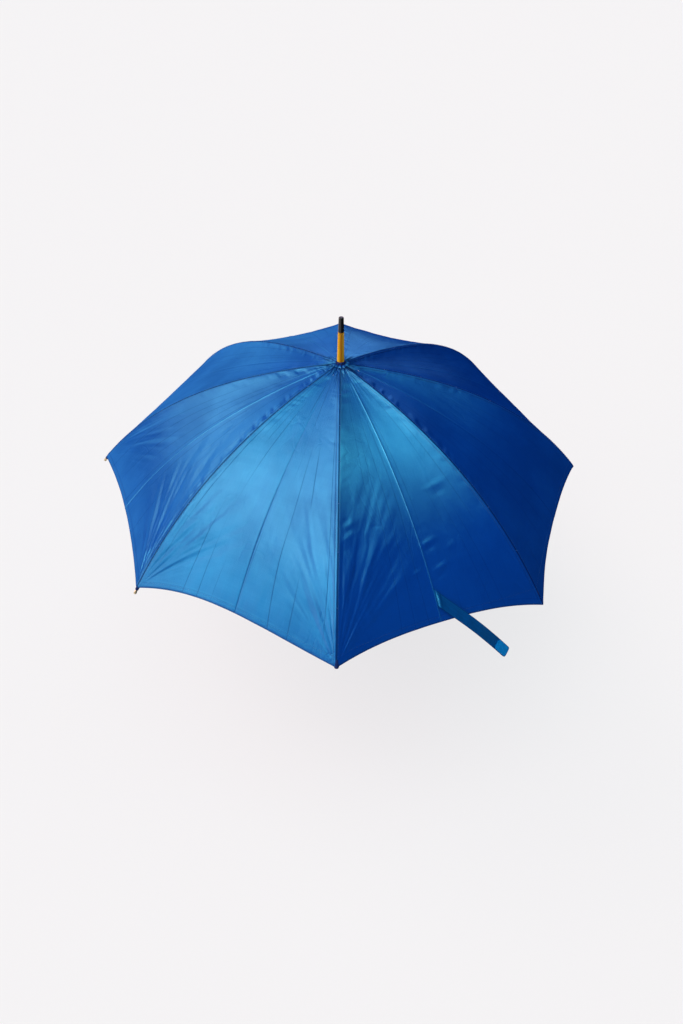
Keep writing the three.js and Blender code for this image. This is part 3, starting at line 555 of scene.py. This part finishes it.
def foldWith(piece, number):  # gives the piece its own copy of its mesh; the axis it works out is not used
    axis = tuple(sideways(azimuthOf(number)))
    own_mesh(piece)


def backed(thickness):
    def add(maker):
        wall = maker.modifiers.new("wall", "SOLIDIFY")
        wall.thickness, wall.offset, wall.use_rim, wall.use_even_offset = thickness, -1.0, True, False
    return add


halves = [(number, side, word, number if side < 0 else number % ribCount + 1)
          for number in ribNumbers for side, word in ((-1.0, "left"), (1.0, "right"))]  # rib, side, word, panel
clothRecipe = clothTree()
for number, side, word, gore in halves:
    ribSide = 0 if side < 0 else 1
    cloth = bakedFrom(clothRecipe, f"cloth_{number}_{word}", {
        **surfaceValues(azimuthOf(number), side, gore), **panelSizes, "Material": satin,
        "Seed": canopy["seed"] + gore * 1.37, "Fan": fanAt[number][ribSide], "Pucker": puckerAt[number][ribSide],
        "Crease": creaseOf[gore], "Folds": 1.0, "Dimples": 1.0 if gore == 2 else 0.0, "Lines": linesOf[gore],
        "Sheen": sheenOf.get(gore, 1.0), "Sheen Lean": sheenLean.get(gore, 0.0),
        "Corner Droop": droopAt.get(number, 0.0)}, backed(canopy["sheet"]))
    cloth.data.set_sharp_from_angle(angle=radians(40))
    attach(cloth, f"rib_{number}")
    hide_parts(f"gore_{gore}")
    foldWith(cloth, number)
print("canopy: 16 half panels,", len(cloth.data.polygons), "faces each")


# Stitches along each seam and round the hem
stitch = {"Pitch": 0.0045, "Length": 0.0030, "Thickness": 0.00052, "Lift": 0.00042, "From Hem": 0.0070,
          "Start": 0.05, "Corner Radius": corner}
besideSeam = {-1.0: 0.0048, 1.0: 0.0022}  # on the side with the folded band, and on the other


def threadShader(graph):
    u, v, w = graph.here().parts()
    twist = ((u + v + w) * (2 * pi / 0.0009)).sine() * 0.5 + 0.5
    # the twist's grooves are darker than its raised strands: painted shade
    colour = graph.blend(twist, (0.004, 0.045, 0.20), (0.014, 0.115, 0.40))
    return graph.principled(colour, 0.5 + 0.1 * twist, graph.bump(twist * 0.00008, 0.6))


thread = madeMaterial("sewingThread", threadShader)


def stitchTree():
    graph, given = treeOf("stitchRows", surfaceInputs + socketsOf(stitch) + [("Beside Seam", "Float")])
    bead = graph.node("GeometryNodeMeshUVSphere", {}, [6, 4, 0.5])
    bead = graph.node("GeometryNodeTransform", {}, {"Geometry": bead, "Rotation": (0.0, pi / 2, 0.0)})
    index = graph.node("GeometryNodeInputIndex")
    size = graph.vector(given["Length"], given["Thickness"], given["Thickness"])

    def row(count, station, t, nextStation, nextT):
        line = graph.node("GeometryNodeMeshLine", {}, [count, (0, 0, 0), (0, 0, 1)])
        here, unused = surfaceWires(graph, given, station, t, given["Lift"])
        there, unused = surfaceWires(graph, given, nextStation, nextT, given["Lift"])
        return graph.node("GeometryNodeInstanceOnPoints", {}, {
            "Points": graph.moved(line, here), "Instance": bead, "Scale": size,
            "Rotation": graph.facing(here, there)})

    pitch, slope = given["Pitch"], 1.1  # along the rib for each metre out from the axis
    ring = given["Corner Radius"] - given["From Hem"]
    station = given["Start"] + index * pitch / slope
    beyond = station + pitch * 0.4
    toShare = given["Beside Seam"] / sin(eighth)
    seamRow = row(slope * (ring - given["Start"]) / pitch, station, toShare / station, beyond, toShare / beyond)
    across = (index + 0.5) * pitch
    hemRow = row(ring * (sin(eighth) / 2) / pitch, ring, across / (ring * sin(eighth)),
                 ring, (across + pitch * 0.4) / (ring * sin(eighth)))
    joined = graph.node("GeometryNodeJoinGeometry")
    for line in (seamRow, hemRow):
        graph.put(joined.socket.node.inputs[0], line)
    return ended(graph, joined, given["Material"])


stitchRecipe = stitchTree()
for number, side, word, gore in halves:
    row = bakedFrom(stitchRecipe, f"stitches_{number}_{word}", {
        **surfaceValues(azimuthOf(number), side, gore), **stitch, "Beside Seam": besideSeam[side],
        "Material": thread})
    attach(row, f"rib_{number}")
    foldWith(row, number)
print("stitches: 16 sets of rows,", len(row.data.polygons), "faces each")


# Thread ties that hold the seams to the ribs, under the cloth
tie = {"Count": 6, "First Tie": 0.085, "Spacing": 0.072, "Loop Radius": 0.0027, "Thread Radius": 0.00024,
       "Turns": 3, "Depth": -0.0031}


def tieTree():
    graph, given = treeOf("ribTies", surfaceInputs + socketsOf(tie))
    loop = graph.node("GeometryNodeCurvePrimitiveCircle", {}, {"Resolution": 14, "Radius": given["Loop Radius"]})
    strand = graph.node("GeometryNodeCurvePrimitiveCircle", {}, {"Resolution": 6, "Radius": given["Thread Radius"]})
    ring = graph.node("GeometryNodeCurveToMesh", {}, {"Curve": loop, "Profile Curve": strand})
    ring = graph.node("GeometryNodeTransform", {}, {"Geometry": ring, "Rotation": (0.0, pi / 2, 0.0)})
    pitch = given["Thread Radius"] * 2.1
    row = graph.node("GeometryNodeMeshLine", {}, [given["Turns"], graph.vector(-pitch), graph.vector(pitch)])
    wound = graph.node("GeometryNodeInstanceOnPoints", {}, {"Points": row, "Instance": ring})
    station = given["First Tie"] + graph.node("GeometryNodeInputIndex") * given["Spacing"]
    here, unused = surfaceWires(graph, given, station, 0.0, given["Depth"])
    there, unused = surfaceWires(graph, given, station + 0.004, 0.0, given["Depth"])
    line = graph.node("GeometryNodeMeshLine", {}, [given["Count"], (0, 0, 0), (0, 0, 1)])
    ties = graph.node("GeometryNodeInstanceOnPoints", {}, {
        "Points": graph.moved(line, here), "Instance": wound, "Rotation": graph.facing(here, there)})
    return ended(graph, ties, given["Material"])


tieRecipe = tieTree()
for number in ribNumbers:
    ties = bakedFrom(tieRecipe, f"rib_ties_{number}", {
        **surfaceValues(azimuthOf(number), 1.0), **tie, "Material": thread})
    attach(ties, f"rib_{number}")
print("rib ties:", tie["Count"], "on each rib,", len(ties.data.polygons), "faces")


# Closing strap, sewn to the crease between ribs 1 and 2, with its patch
strap = {
    "width": 0.020, "thick": 0.0011, "root": 0.929, "out": 0.081, "along": 0.118, "fall": 0.121, "lie": 0.066,
    "droop": 0.045, "seat": 0.0006, "from": 0.0, "to": 1.0, "rows": 150, "columns": 20, "hanging": 0.118,
    "roll": 0.0004, "rollEdge": 0.0026, "wave": 0.0005, "fold": 0.0022, "foldAt": 0.045, "foldHalf": 0.028,
    "seam": 0.0007, "seamAt": 0.80, "seamHalf": 0.012, "slantReach": 0.35, "rounding": 0.0045, "sheen": 1.5,
}
pad = {"from": 0.835, "to": 0.990, "width": 0.0180, "thick": 0.0009, "rows": 30, "columns": 24,
       "rounding": 0.0042, "gap": 0.0003, "loops": 0.0002}


def panelMiddle(station):  # on the crease between ribs 1 and 2
    return clothPoint(station, 0.5)


def strapRoute():
    root = panelMiddle(canopy["radius"] * strap["root"])
    out, along = outward(eighth / 2), sideways(eighth / 2)
    end = root + out * strap["out"] + along * strap["along"] - Vector((0, 0, strap["fall"]))
    inward = panelMiddle(canopy["radius"] * (strap["root"] - 1 / 12))
    crease = (root - inward).normalized()
    normal = along.cross(crease).normalized()
    if normal.z < 0:
        normal = -normal
    reach = end - root
    lie = (reach - normal * reach.dot(normal)).normalized()
    start = root + normal * strap["seat"]
    edge = start + lie * strap["lie"]
    droop = edge + lie * strap["droop"]
    slope = crease.dot(lie)
    slant = -lie.cross(normal).dot(crease) * slope / (1 - slope ** 2)  # the root is cut along the crease
    return start, edge, droop, end, normal, slant


strapStart, strapEdge, strapDroop, strapEnd, strapNormal, strapSlant = strapRoute()


def strapBow(k):  # the stretch that hangs free
    return (1 - k) ** 2 * strapEdge + 2 * (1 - k) * k * strapDroop + k ** 2 * strapEnd


def strapCentre(share):  # a point on the middle line, share of the whole length from the root
    first = (strapEdge - strapStart).length
    steps = 60
    second = sum((strapBow((k + 1) / steps) - strapBow(k / steps)).length for k in range(steps))
    gone = share * (first + second)
    if gone <= first:
        return strapStart + (strapEdge - strapStart) * (gone / first)
    return strapBow(min(max((gone - first) / second, 0), 1.02))


def strapPlace(share, across, lift):
    centre = strapCentre(share)
    middle = min(max(share, 0.01), 0.99)
    ahead = (strapCentre(middle + 0.01) - strapCentre(middle - 0.01)).normalized()
    wide = ahead.cross(strapNormal).normalized()
    up = wide.cross(ahead).normalized()
    return centre - wide * across + up * lift


strapLength = (strapEdge - strapStart).length + strap["hanging"]


def strapMesh(name, sizes, base, material, bumps, slant=0.0):
    points, faces, uvs = [], [], []
    start, part, width, rounding = sizes["from"], sizes["to"] - sizes["from"], sizes["width"], sizes["rounding"]
    rows, columns = sizes["rows"], sizes["columns"]
    span = part * strapLength
    for level in (1, 0):
        for i in range(rows + 1):
            share = start + part * i / rows
            fromEnd = min(i, rows - i) / rows * span
            pull = 0.0
            if fromEnd < rounding and (i > rows / 2 or not slant):
                pull = rounding - sqrt(max(rounding ** 2 - (rounding - fromEnd) ** 2, 0))
            for j in range(columns + 1):
                across = (2 * j / columns - 1) * (width / 2 - pull)
                lift = base + (sizes["thick"] + bumps(share, across) if level else 0)
                skew = slant * across / strapLength * max(0, 1 - (share - start) / strap["slantReach"])
                points.append(strapPlace(share + skew, across, lift))
                uvs.append((across, share * strapLength))
    row, layer = columns + 1, (rows + 1) * (columns + 1)
    for i in range(rows):
        for j in range(columns):
            a = i * row + j
            faces.append((a, a + 1, a + row + 1, a + row))
            faces.append((layer + a, layer + a + row, layer + a + row + 1, layer + a + 1))
        a, b = i * row, i * row + columns
        faces.append((a, a + row, layer + a + row, layer + a))
        faces.append((b, layer + b, layer + b + row, b + row))
    for j in range(columns):
        a, b = j, rows * row + j
        faces.append((a, layer + a, layer + a + 1, a + 1))
        faces.append((b, b + 1, layer + b + 1, layer + b))
    piece = meshObject(name, points, faces, material)
    layerUV = piece.data.uv_layers.new(name="clothUV")
    for loop in piece.data.loops:
        layerUV.data[loop.index].uv = uvs[loop.vertex_index]
    # hemGap here is the distance from the strap's edge, so its edges take the hem's painted shade
    for key, value in (("seamGap", 0.02), ("hemGap", 0.02), ("bandEdge", 0.0), ("sheen", strap["sheen"])):
        data = piece.data.attributes.new(key, "FLOAT", "POINT")
        for k, (across, along) in enumerate(uvs):
            data.data[k].value = value if key != "hemGap" else width / 2 - abs(across) + 0.0009
    piece.data.attributes.new("panel", "FLOAT_VECTOR", "POINT")
    piece.data.set_sharp_from_angle(angle=radians(50))
    return piece


def strapRelief(share, across):
    edge = strap["width"] / 2 - abs(across)
    rolled = strap["roll"] * (1 if edge < strap["rollEdge"] else 0)
    wave = strap["wave"] * sin(share * 34.0 + across * 160.0) * max(0, 1 - abs(across) / 0.01)
    fold = strap["fold"] * max(0, 1 - ((share - strap["foldAt"]) / strap["foldHalf"]) ** 2)
    line = strap["seam"] * max(0, 1 - ((share - strap["seamAt"]) / strap["seamHalf"]) ** 2)
    return rolled + wave + max(fold * (1 - (across / 0.012) ** 2), 0) + line


# the strap is the same cloth with lighter colours: painted light
strapLitLook = dict(clothLook, deep=(0.0004, 0.062, 0.27), bright=(0.0010, 0.095, 0.37))
strapLitSatin = madeMaterial("strapLitSatin", lambda graph: satinShader(graph, strapLitLook))
strapPiece = strapMesh("closing_strap", strap, 0.0, strapLitSatin, strapRelief, strapSlant)


def pileShader(graph):
    loops = graph.node("ShaderNodeTexVoronoi", {}, {"Vector": graph.here(), "Scale": 1900.0})
    # the loop tops are lighter and the gaps between them darker: painted shade
    tone = loops.ramp(0.0, 0.7, 1.0, 0.0)
    colour = graph.blend(tone, (0.0006, 0.18, 0.56), (0.0010, 0.36, 0.90))
    return graph.principled(colour, 0.75 + 0.1 * tone, graph.bump(tone * 0.0005, 0.8), {"Specular IOR Level": 0.04})


def patchRelief(share, across):
    return pad["loops"] * sin(share * 900) * sin(across * 5000)


pile = madeMaterial("patchPile", pileShader)
patch = strapMesh("strap_pile_patch", pad, strap["thick"] + pad["gap"], pile, patchRelief)
for piece, width, share in ((strapPiece, strap["width"], 1.0), (patch, pad["width"], pad["to"] - pad["from"])):
    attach(piece, "rib_2")
    foldWith(piece, 2)
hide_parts("strap")
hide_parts("strap_patch")
print("strap:", round(strapLength * 1000), "mm long")


# Gathered cloth round the foot of the spike
rosette = {"Inner Radius": 0.0084, "Outer Radius": 0.0185, "Pleats": 11.0, "Pleat Height": 0.0010, "Seat": 0.0008,
           "Crown Height": crownZ, "Seed": 4.0, "Rings": 26, "Spokes": 272}


def rosetteTree():
    graph, given = treeOf("crownRosette", socketsOf(rosette))
    grid = graph.node("GeometryNodeMeshGrid", {}, [1.0, 1.0, given["Spokes"] + 1.0, given["Rings"] + 1.0])
    s, q, unused = grid.other("UV Map").parts()
    angle = s * (2 * pi)
    ringX, ringY = angle.sine(), angle.cosine()
    wander = graph.cloud(ringX * 1.6, ringY * 1.6, given["Seed"])
    fold = (angle * given["Pleats"] + (wander - 0.5) * 9.0).cosine()
    deep = graph.cloud(ringX * 2.6, ringY * 2.6, given["Seed"] + 5.0).ramp(0.35, 0.65)
    reach = given["Outer Radius"] * (0.88 + 0.07 * fold + 0.13 * (deep - 0.5))
    radius = given["Inner Radius"] + (reach - given["Inner Radius"]) * q
    u = radius / canopy["radius"]
    drop = canopy["rise"] * (canopy["crownSlope"] * u + canopy["bow"] * u * u)
    lift = given["Pleat Height"] * (fold * (0.4 + 0.6 * deep) + 0.9)
    lift = lift * (q * 1.25).ramp(0.0, 0.35) * q.ramp(1.12, 0.72)
    z = given["Crown Height"] - drop + (given["Seat"] + lift)
    between = 2.0 * (0.5 - 0.5 * fold) ** 3.0 * (0.4 + 0.6 * deep) * q.ramp(0.02, 0.3)  # painted shade between the pleats
    placed = graph.moved(grid, graph.vector(ringX * radius, -(ringY * radius), z))
    # between goes into bandEdge, and hemGap gives the rosette's outer part the hem's painted shade
    marked = graph.clothMarks(placed, {
        "seamGap": 0.02, "hemGap": (1.0 - q) * 0.016 + 0.0008, "bandEdge": between, "sheen": 1.0},
        (0.0, 0.0, 0.0), graph.vector(angle * 0.02, radius, 0.0))
    closed = graph.node("GeometryNodeMergeByDistance", {}, {"Geometry": marked, "Distance": 1e-6})
    return ended(graph, graph.node("GeometryNodeFlipFaces", {}, [closed]), given["Material"])


ruffleThick = 0.0004
ruffle = bakedFrom(rosetteTree(), "crown_rosette", {**rosette, "Material": satin}, backed(ruffleThick))
ruffle.data.set_sharp_from_angle(angle=radians(50))
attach(ruffle, "stick")
print("rosette made")


# Pockets that hold the rib tips in the corners of the cloth
pocket = {  # [along the tip from its base, half width, half height], the front pocket covers its tip
    "front": [(-0.0080, 0.0030, 0.0010), (-0.0060, 0.0042, 0.0034), (-0.0020, 0.0044, 0.0039),
              (0.0020, 0.0043, 0.0038), (0.0055, 0.0041, 0.0037), (0.0078, 0.0035, 0.0032),
              (0.0088, 0.0022, 0.0020)],
    "other": [(-0.0085, 0.0024, 0.0008), (-0.0070, 0.0031, 0.0028), (-0.0035, 0.0033, 0.0031),
              (-0.0005, 0.0032, 0.0031), (0.0015, 0.0030, 0.0030), (0.0028, 0.0029, 0.0029),
              (0.0032, 0.0027, 0.0027)],
    "sides": 24, "steps": 5, "pinch": 0.05, "tipRound": 0.0022, "tipLength": 0.0105,
}


def pocketMesh(name, number, sections):
    azimuth = azimuthOf(number)
    out, along = outward(azimuth), sideways(azimuth)
    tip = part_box("rib_tip_1")
    slope = atan2(clothPoint(corner - 0.01, 0).z - clothPoint(corner, 0).z, 0.01)
    ahead = out * cos(slope) - Vector((0, 0, sin(slope)))
    over = out * sin(slope) + Vector((0, 0, cos(slope)))
    ball = pocket["tipRound"]
    end = Vector((0, 0, tip[0].z + ball)) - out * (tip[0].y + ball) - ahead * pocket["tipLength"]
    loop = []
    for a, b in zip(sections, sections[1:]):
        loop += [[a[k] + (b[k] - a[k]) * i / pocket["steps"] for k in range(3)] for i in range(pocket["steps"])]
    loop.append(list(sections[-1]))
    sides = pocket["sides"]
    points, faces = [], []
    for i, (s, wide, high) in enumerate(loop):
        for k in range(sides):
            turn = 2 * pi * k / sides
            pinch = 1 + pocket["pinch"] * sin(turn * 5 + i * 0.7) * (1 if 2 < i < len(loop) - 3 else 0)
            points.append(end + ahead * s + along * (wide * pinch * cos(turn)) + over * (high * pinch * sin(turn)))
    for i in range(len(loop) - 1):
        for k in range(sides):
            a, b = i * sides + k, i * sides + (k + 1) % sides
            faces.append((a, b, b + sides, a + sides))
    faces.append(tuple(reversed(range(sides))))
    faces.append(tuple((len(loop) - 1) * sides + k for k in range(sides)))
    piece = meshObject(name, points, faces, pocketCloth)
    piece.data.set_sharp_from_angle(angle=radians(45))
    return piece


def pocketShader(graph):
    weave = graph.noise(graph.here(), 900.0, 2.0, 0.6)
    colour = graph.blend(weave, (0.0010, 0.010, 0.070), (0.0014, 0.022, 0.140))
    return graph.principled(colour, 0.6 + 0.1 * weave, graph.bump(weave * 0.0003, 0.6), {"Specular IOR Level": 0.2})


pocketCloth = madeMaterial("pocketCloth", pocketShader)
for number in ribNumbers:
    style = "front" if number == 1 else "other"
    cover = pocketMesh(f"tip_pocket_{number}", number, pocket[style])
    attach(cover, f"rib_{number}")
    if number == 1:
        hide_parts("rib_tip_1")  # this tip sits inside its pocket
print("tip pockets: 8")


# Bound edge of the cloth round the foot of the spike
binding = {  # [radius, height over the crown]
    "profile": [(0.0070, -0.0015), (0.0094, -0.0012), (0.0097, 0.0006), (0.0091, 0.0030), (0.0081, 0.0046),
                (0.0070, 0.0050)],
    "inner": 0.0070, "pleats": 9, "pleat": 0.0004, "spokes": 108,
}


def bindingMesh():
    profile, spokes = binding["profile"], binding["spokes"]
    points, faces = [], []
    for k in range(spokes):
        turn = 2 * pi * k / spokes
        for radius, height in profile:
            if radius > binding["inner"]:
                radius += binding["pleat"] * (sin(binding["pleats"] * turn) + 0.6 * sin(5 * turn + 1.0))
            points.append((radius * sin(turn), -radius * cos(turn), crownZ + height))
    count = len(profile)
    for k in range(spokes):
        for i in range(count):
            a, b, step = k * count, (k + 1) % spokes * count, (i + 1) % count
            faces.append((a + i, b + i, b + step, a + step))
    piece = meshObject("crown_binding", points, faces, pocketCloth)
    piece.data.set_sharp_from_angle(angle=radians(60))
    return piece


bound = bindingMesh()
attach(bound, "stick")
print("crown binding made")


# Finishes of the carried nodes
def woodShader(dark, mid, light, rings, gloss):
    def build(graph):
        x, y, z = graph.here().parts()
        warp = graph.cloud(x * 18.0, y * 18.0, z * 3.0, 3.0, 0.55)
        fibre = graph.cloud(x * 900.0, y * 900.0, z * 28.0, 3.0, 0.6)
        figure = ((x * rings + warp * 5.0 + y * rings * 0.4) * 2.0).sine() * 0.5 + 0.5
        pores = graph.cloud(x * 1500.0, y * 1500.0, z * 60.0, 1.0).ramp(0.66, 0.74)
        tone = 0.55 * figure + 0.45 * fibre
        colour = graph.node("ShaderNodeValToRGB", {"stops": [(0.25, dark), (0.55, mid), (0.85, light)]}, [tone])
        colour = graph.blend(pores * 0.5, colour, tuple(0.35 * k for k in dark))
        return graph.principled(colour, 0.50 + 0.12 * fibre, graph.bump((fibre - pores * 0.5) * 0.00006, 0.5), {
            "IOR": 1.25, "Coat Weight": 0.09 - 0.04 * pores, "Coat Roughness": gloss, "Coat IOR": 1.5})
    return build


def blackShader(base, rough, speckle):
    def build(graph):
        place = graph.here()
        haze = graph.noise(place, 90.0, 4.0, 0.6)
        grain = graph.noise(place, 2600.0, 2.0, 0.6)
        colour = graph.blend(haze, base, tuple(k * 1.6 + 0.002 for k in base))
        return graph.principled(colour, rough + 0.12 * (haze - 0.5), graph.bump(grain * speckle, 0.5))
    return build


def metalShader(light, worn, rough, brush):
    def build(graph):
        place = graph.here()
        x, y, z = place.parts()
        streak = graph.cloud(x * 60.0, y * 60.0, z * 900.0, 3.0, 0.6)
        patina = graph.noise(place, 34.0, 4.0, 0.62)
        spots = graph.noise(place, 420.0, 2.0, 0.5).ramp(0.66, 0.76)
        colour = graph.blend(patina.ramp(0.4, 0.75), light, worn)
        return graph.principled(colour, rough + 0.12 * (patina - 0.5) + 0.15 * spots,
                                graph.bump(streak * brush, 0.4), {"Metallic": 1.0 - 0.4 * spots})
    return build


finishes = {
    "spikeWood": woodShader((0.42, 0.16, 0.0008), (0.68, 0.31, 0.002), (0.90, 0.50, 0.012), 260.0, 0.25),
    "handleWood": woodShader((0.27, 0.095, 0.004), (0.46, 0.19, 0.010), (0.62, 0.30, 0.022), 90.0, 0.12),
    "glossBlack": blackShader((0.004, 0.004, 0.005), 0.18, 0.00001),
    "satinBlack": blackShader((0.010, 0.010, 0.012), 0.42, 0.00003),
    "navyRing": blackShader((0.004, 0.010, 0.040), 0.5, 0.00005),
    "platedSteel": metalShader((0.46, 0.47, 0.49), (0.33, 0.34, 0.36), 0.28, 0.00002),
    "darkSteel": metalShader((0.10, 0.11, 0.12), (0.05, 0.05, 0.055), 0.38, 0.00002),
    "goldPlate": metalShader((0.66, 0.50, 0.24), (0.50, 0.36, 0.15), 0.30, 0.00002),
    "paleTip": metalShader((0.70, 0.58, 0.38), (0.56, 0.44, 0.26), 0.34, 0.00001),
}
made = {name: madeMaterial(name, build) for name, build in finishes.items()}
wornBy = {
    "spikeWood": ["shaft"], "handleWood": ["handle"], "glossBlack": ["ferrule_cap"], "goldPlate": ["handle_collar"],
    "navyRing": ["crown_collar", "crown_washer"], "satinBlack": ["top_notch", "runner"],
    "darkSteel": ["notch_wire", "notch_pin", "runner_wire", "stop_pin"] + [f"rib_pin_{k}" for k in ribNumbers],
    "platedSteel": ["top_catch", "bottom_catch"] + [f"rib_{k}" for k in ribNumbers]
                   + [f"stretcher_{k}" for k in ribNumbers],
    "paleTip": [f"rib_tip_{k}" for k in ribNumbers],
}
for finish, names in wornBy.items():
    for name in names:
        node = nodes[name]
        if not node.material_slots:
            node.data.materials.append(None)
        for place in node.material_slots:
            place.material = made[finish]
print("finishes:", len(made))


# Floor, light and camera
studio = {
    "floorZ": -0.0755, "floorHalf": 30.0, "floorShown": 0.80, "backdrop": (0.913, 0.896, 0.905), "ambient": 0.12,
    "ceiling": (0.22, 0.02), "paleSide": (-0.35, -0.75), "dim": (0.02, 0.02, 0.02), "darkFloor": (0.0, -0.4),
    "lampAngle": 40.0,
}
warm, even, cool, blue = (1.42, 0.995, 0.96), (1.0, 1.0, 1.0), (0.56, 1.0, 1.04), (1.15, 0.90, 1.40)
lamps = {  # height and bearing in degrees, bearing 0 is the front and 90 the right; strength, colour
    "frontLeft": (38, 320, 0.76, cool), "highLeft": (62, 300, 0.89, warm), "lowLeft": (12, 288, 0.80, warm),
    "highBackLeft": (62, 240, 0.43, even), "backLeft": (38, 240, 0.60, warm), "lowBackLeft": (12, 216, 0.42, even),
    "lowBack": (14, 173, 0.43, blue), "highRight": (62, 120, 0.31, cool), "over": (88, 0, 0.65, cool),
}


def floorShader(graph):
    place = graph.here()
    mottle = graph.noise(place, 3.0, 3.0, 0.5)
    colour = graph.blend(mottle, (0.800, 0.787, 0.794), (0.815, 0.801, 0.808))
    plain = graph.node("ShaderNodeBsdfDiffuse", {}, {"Color": colour})
    dim = graph.node("ShaderNodeBsdfDiffuse", {}, {"Color": studio["dim"]})
    lit = graph.node("ShaderNodeEmission", {}, {"Color": studio["backdrop"], "Strength": 1.0})
    path = graph.node("ShaderNodeLightPath")
    top = graph.mixed(path * studio["floorShown"], plain, lit)
    away = place.parts()[0].ramp(*studio["darkFloor"])  # gloss finds it pale on the left and dark on the right
    top = graph.mixed(path.other("Is Glossy Ray"), top, graph.mixed(away, dim, lit))
    below = graph.node("ShaderNodeNewGeometry").other("Backfacing")  # from below the view goes through the floor
    return graph.mixed(below, top, graph.node("ShaderNodeBsdfTransparent"))


half = studio["floorHalf"]
corners = [(x * half, y * half, studio["floorZ"]) for x, y in ((-1, -1), (1, -1), (1, 1), (-1, 1))]
floor = meshObject("studio_floor", corners, [(0, 1, 2, 3)], madeMaterial("studioFloor", floorShader), smooth=False)

world = bpy.data.worlds.new("studioWorld")
scene.world = world
world.use_nodes = True
world.node_tree.nodes.clear()
sky = Graph(world.node_tree)
rays = sky.node("ShaderNodeLightPath")
shown = rays.most(rays.other("Is Glossy Ray")).most(rays.other("Is Transmission Ray"))
ambient = (studio["ambient"],) * 3
eastward, unused, height = sky.node("ShaderNodeTexCoord").parts()
walls = eastward.ramp(*studio["paleSide"]) * height.ramp(*studio["ceiling"])
room = sky.blend(rays.most(walls), studio["dim"], studio["backdrop"])  # gloss shows a pale wall and a dim ceiling
sky.node("ShaderNodeOutputWorld", {}, {"Surface": sky.node("ShaderNodeBackground", {}, {
    "Color": sky.blend(shown, ambient, room), "Strength": 1.0})})


for name, (height, bearing, power, colour) in lamps.items():
    light = bpy.data.lights.new(name, "SUN")
    light.energy, light.angle, light.color = power, radians(studio["lampAngle"]), colour
    lamp = bpy.data.objects.new(name, light)
    scene.collection.objects.link(lamp)
    way = outward(radians(bearing)) * cos(radians(height)) + Vector((0, 0, sin(radians(height))))
    lamp.rotation_euler = way.to_track_quat("Z", "Y").to_euler()

lens = {"place": (-0.0004, -1.0623, 1.3693), "elevation": 45.137, "azimuth": -0.398, "roll": 1.0466,
        "length": 22.404}
el, az, roll = (radians(lens[k]) for k in ("elevation", "azimuth", "roll"))
forward = Vector((-sin(az) * cos(el), cos(az) * cos(el), -sin(el)))
right = Vector((cos(az), sin(az), 0))
up = right.cross(forward)
camX = cos(roll) * right + sin(roll) * up
camY = -sin(roll) * right + cos(roll) * up
view = bpy.data.cameras.new("photoView")
view.lens, view.sensor_width, view.clip_end = lens["length"], 36.0, 40.0
camera = bpy.data.objects.new("photoView", view)
scene.collection.objects.link(camera)
camera.matrix_world = Matrix((
    (camX.x, camY.x, -forward.x, lens["place"][0]),
    (camX.y, camY.y, -forward.y, lens["place"][1]),
    (camX.z, camY.z, -forward.z, lens["place"][2]),
    (0, 0, 0, 1)))
scene.camera = camera
print("stage set")
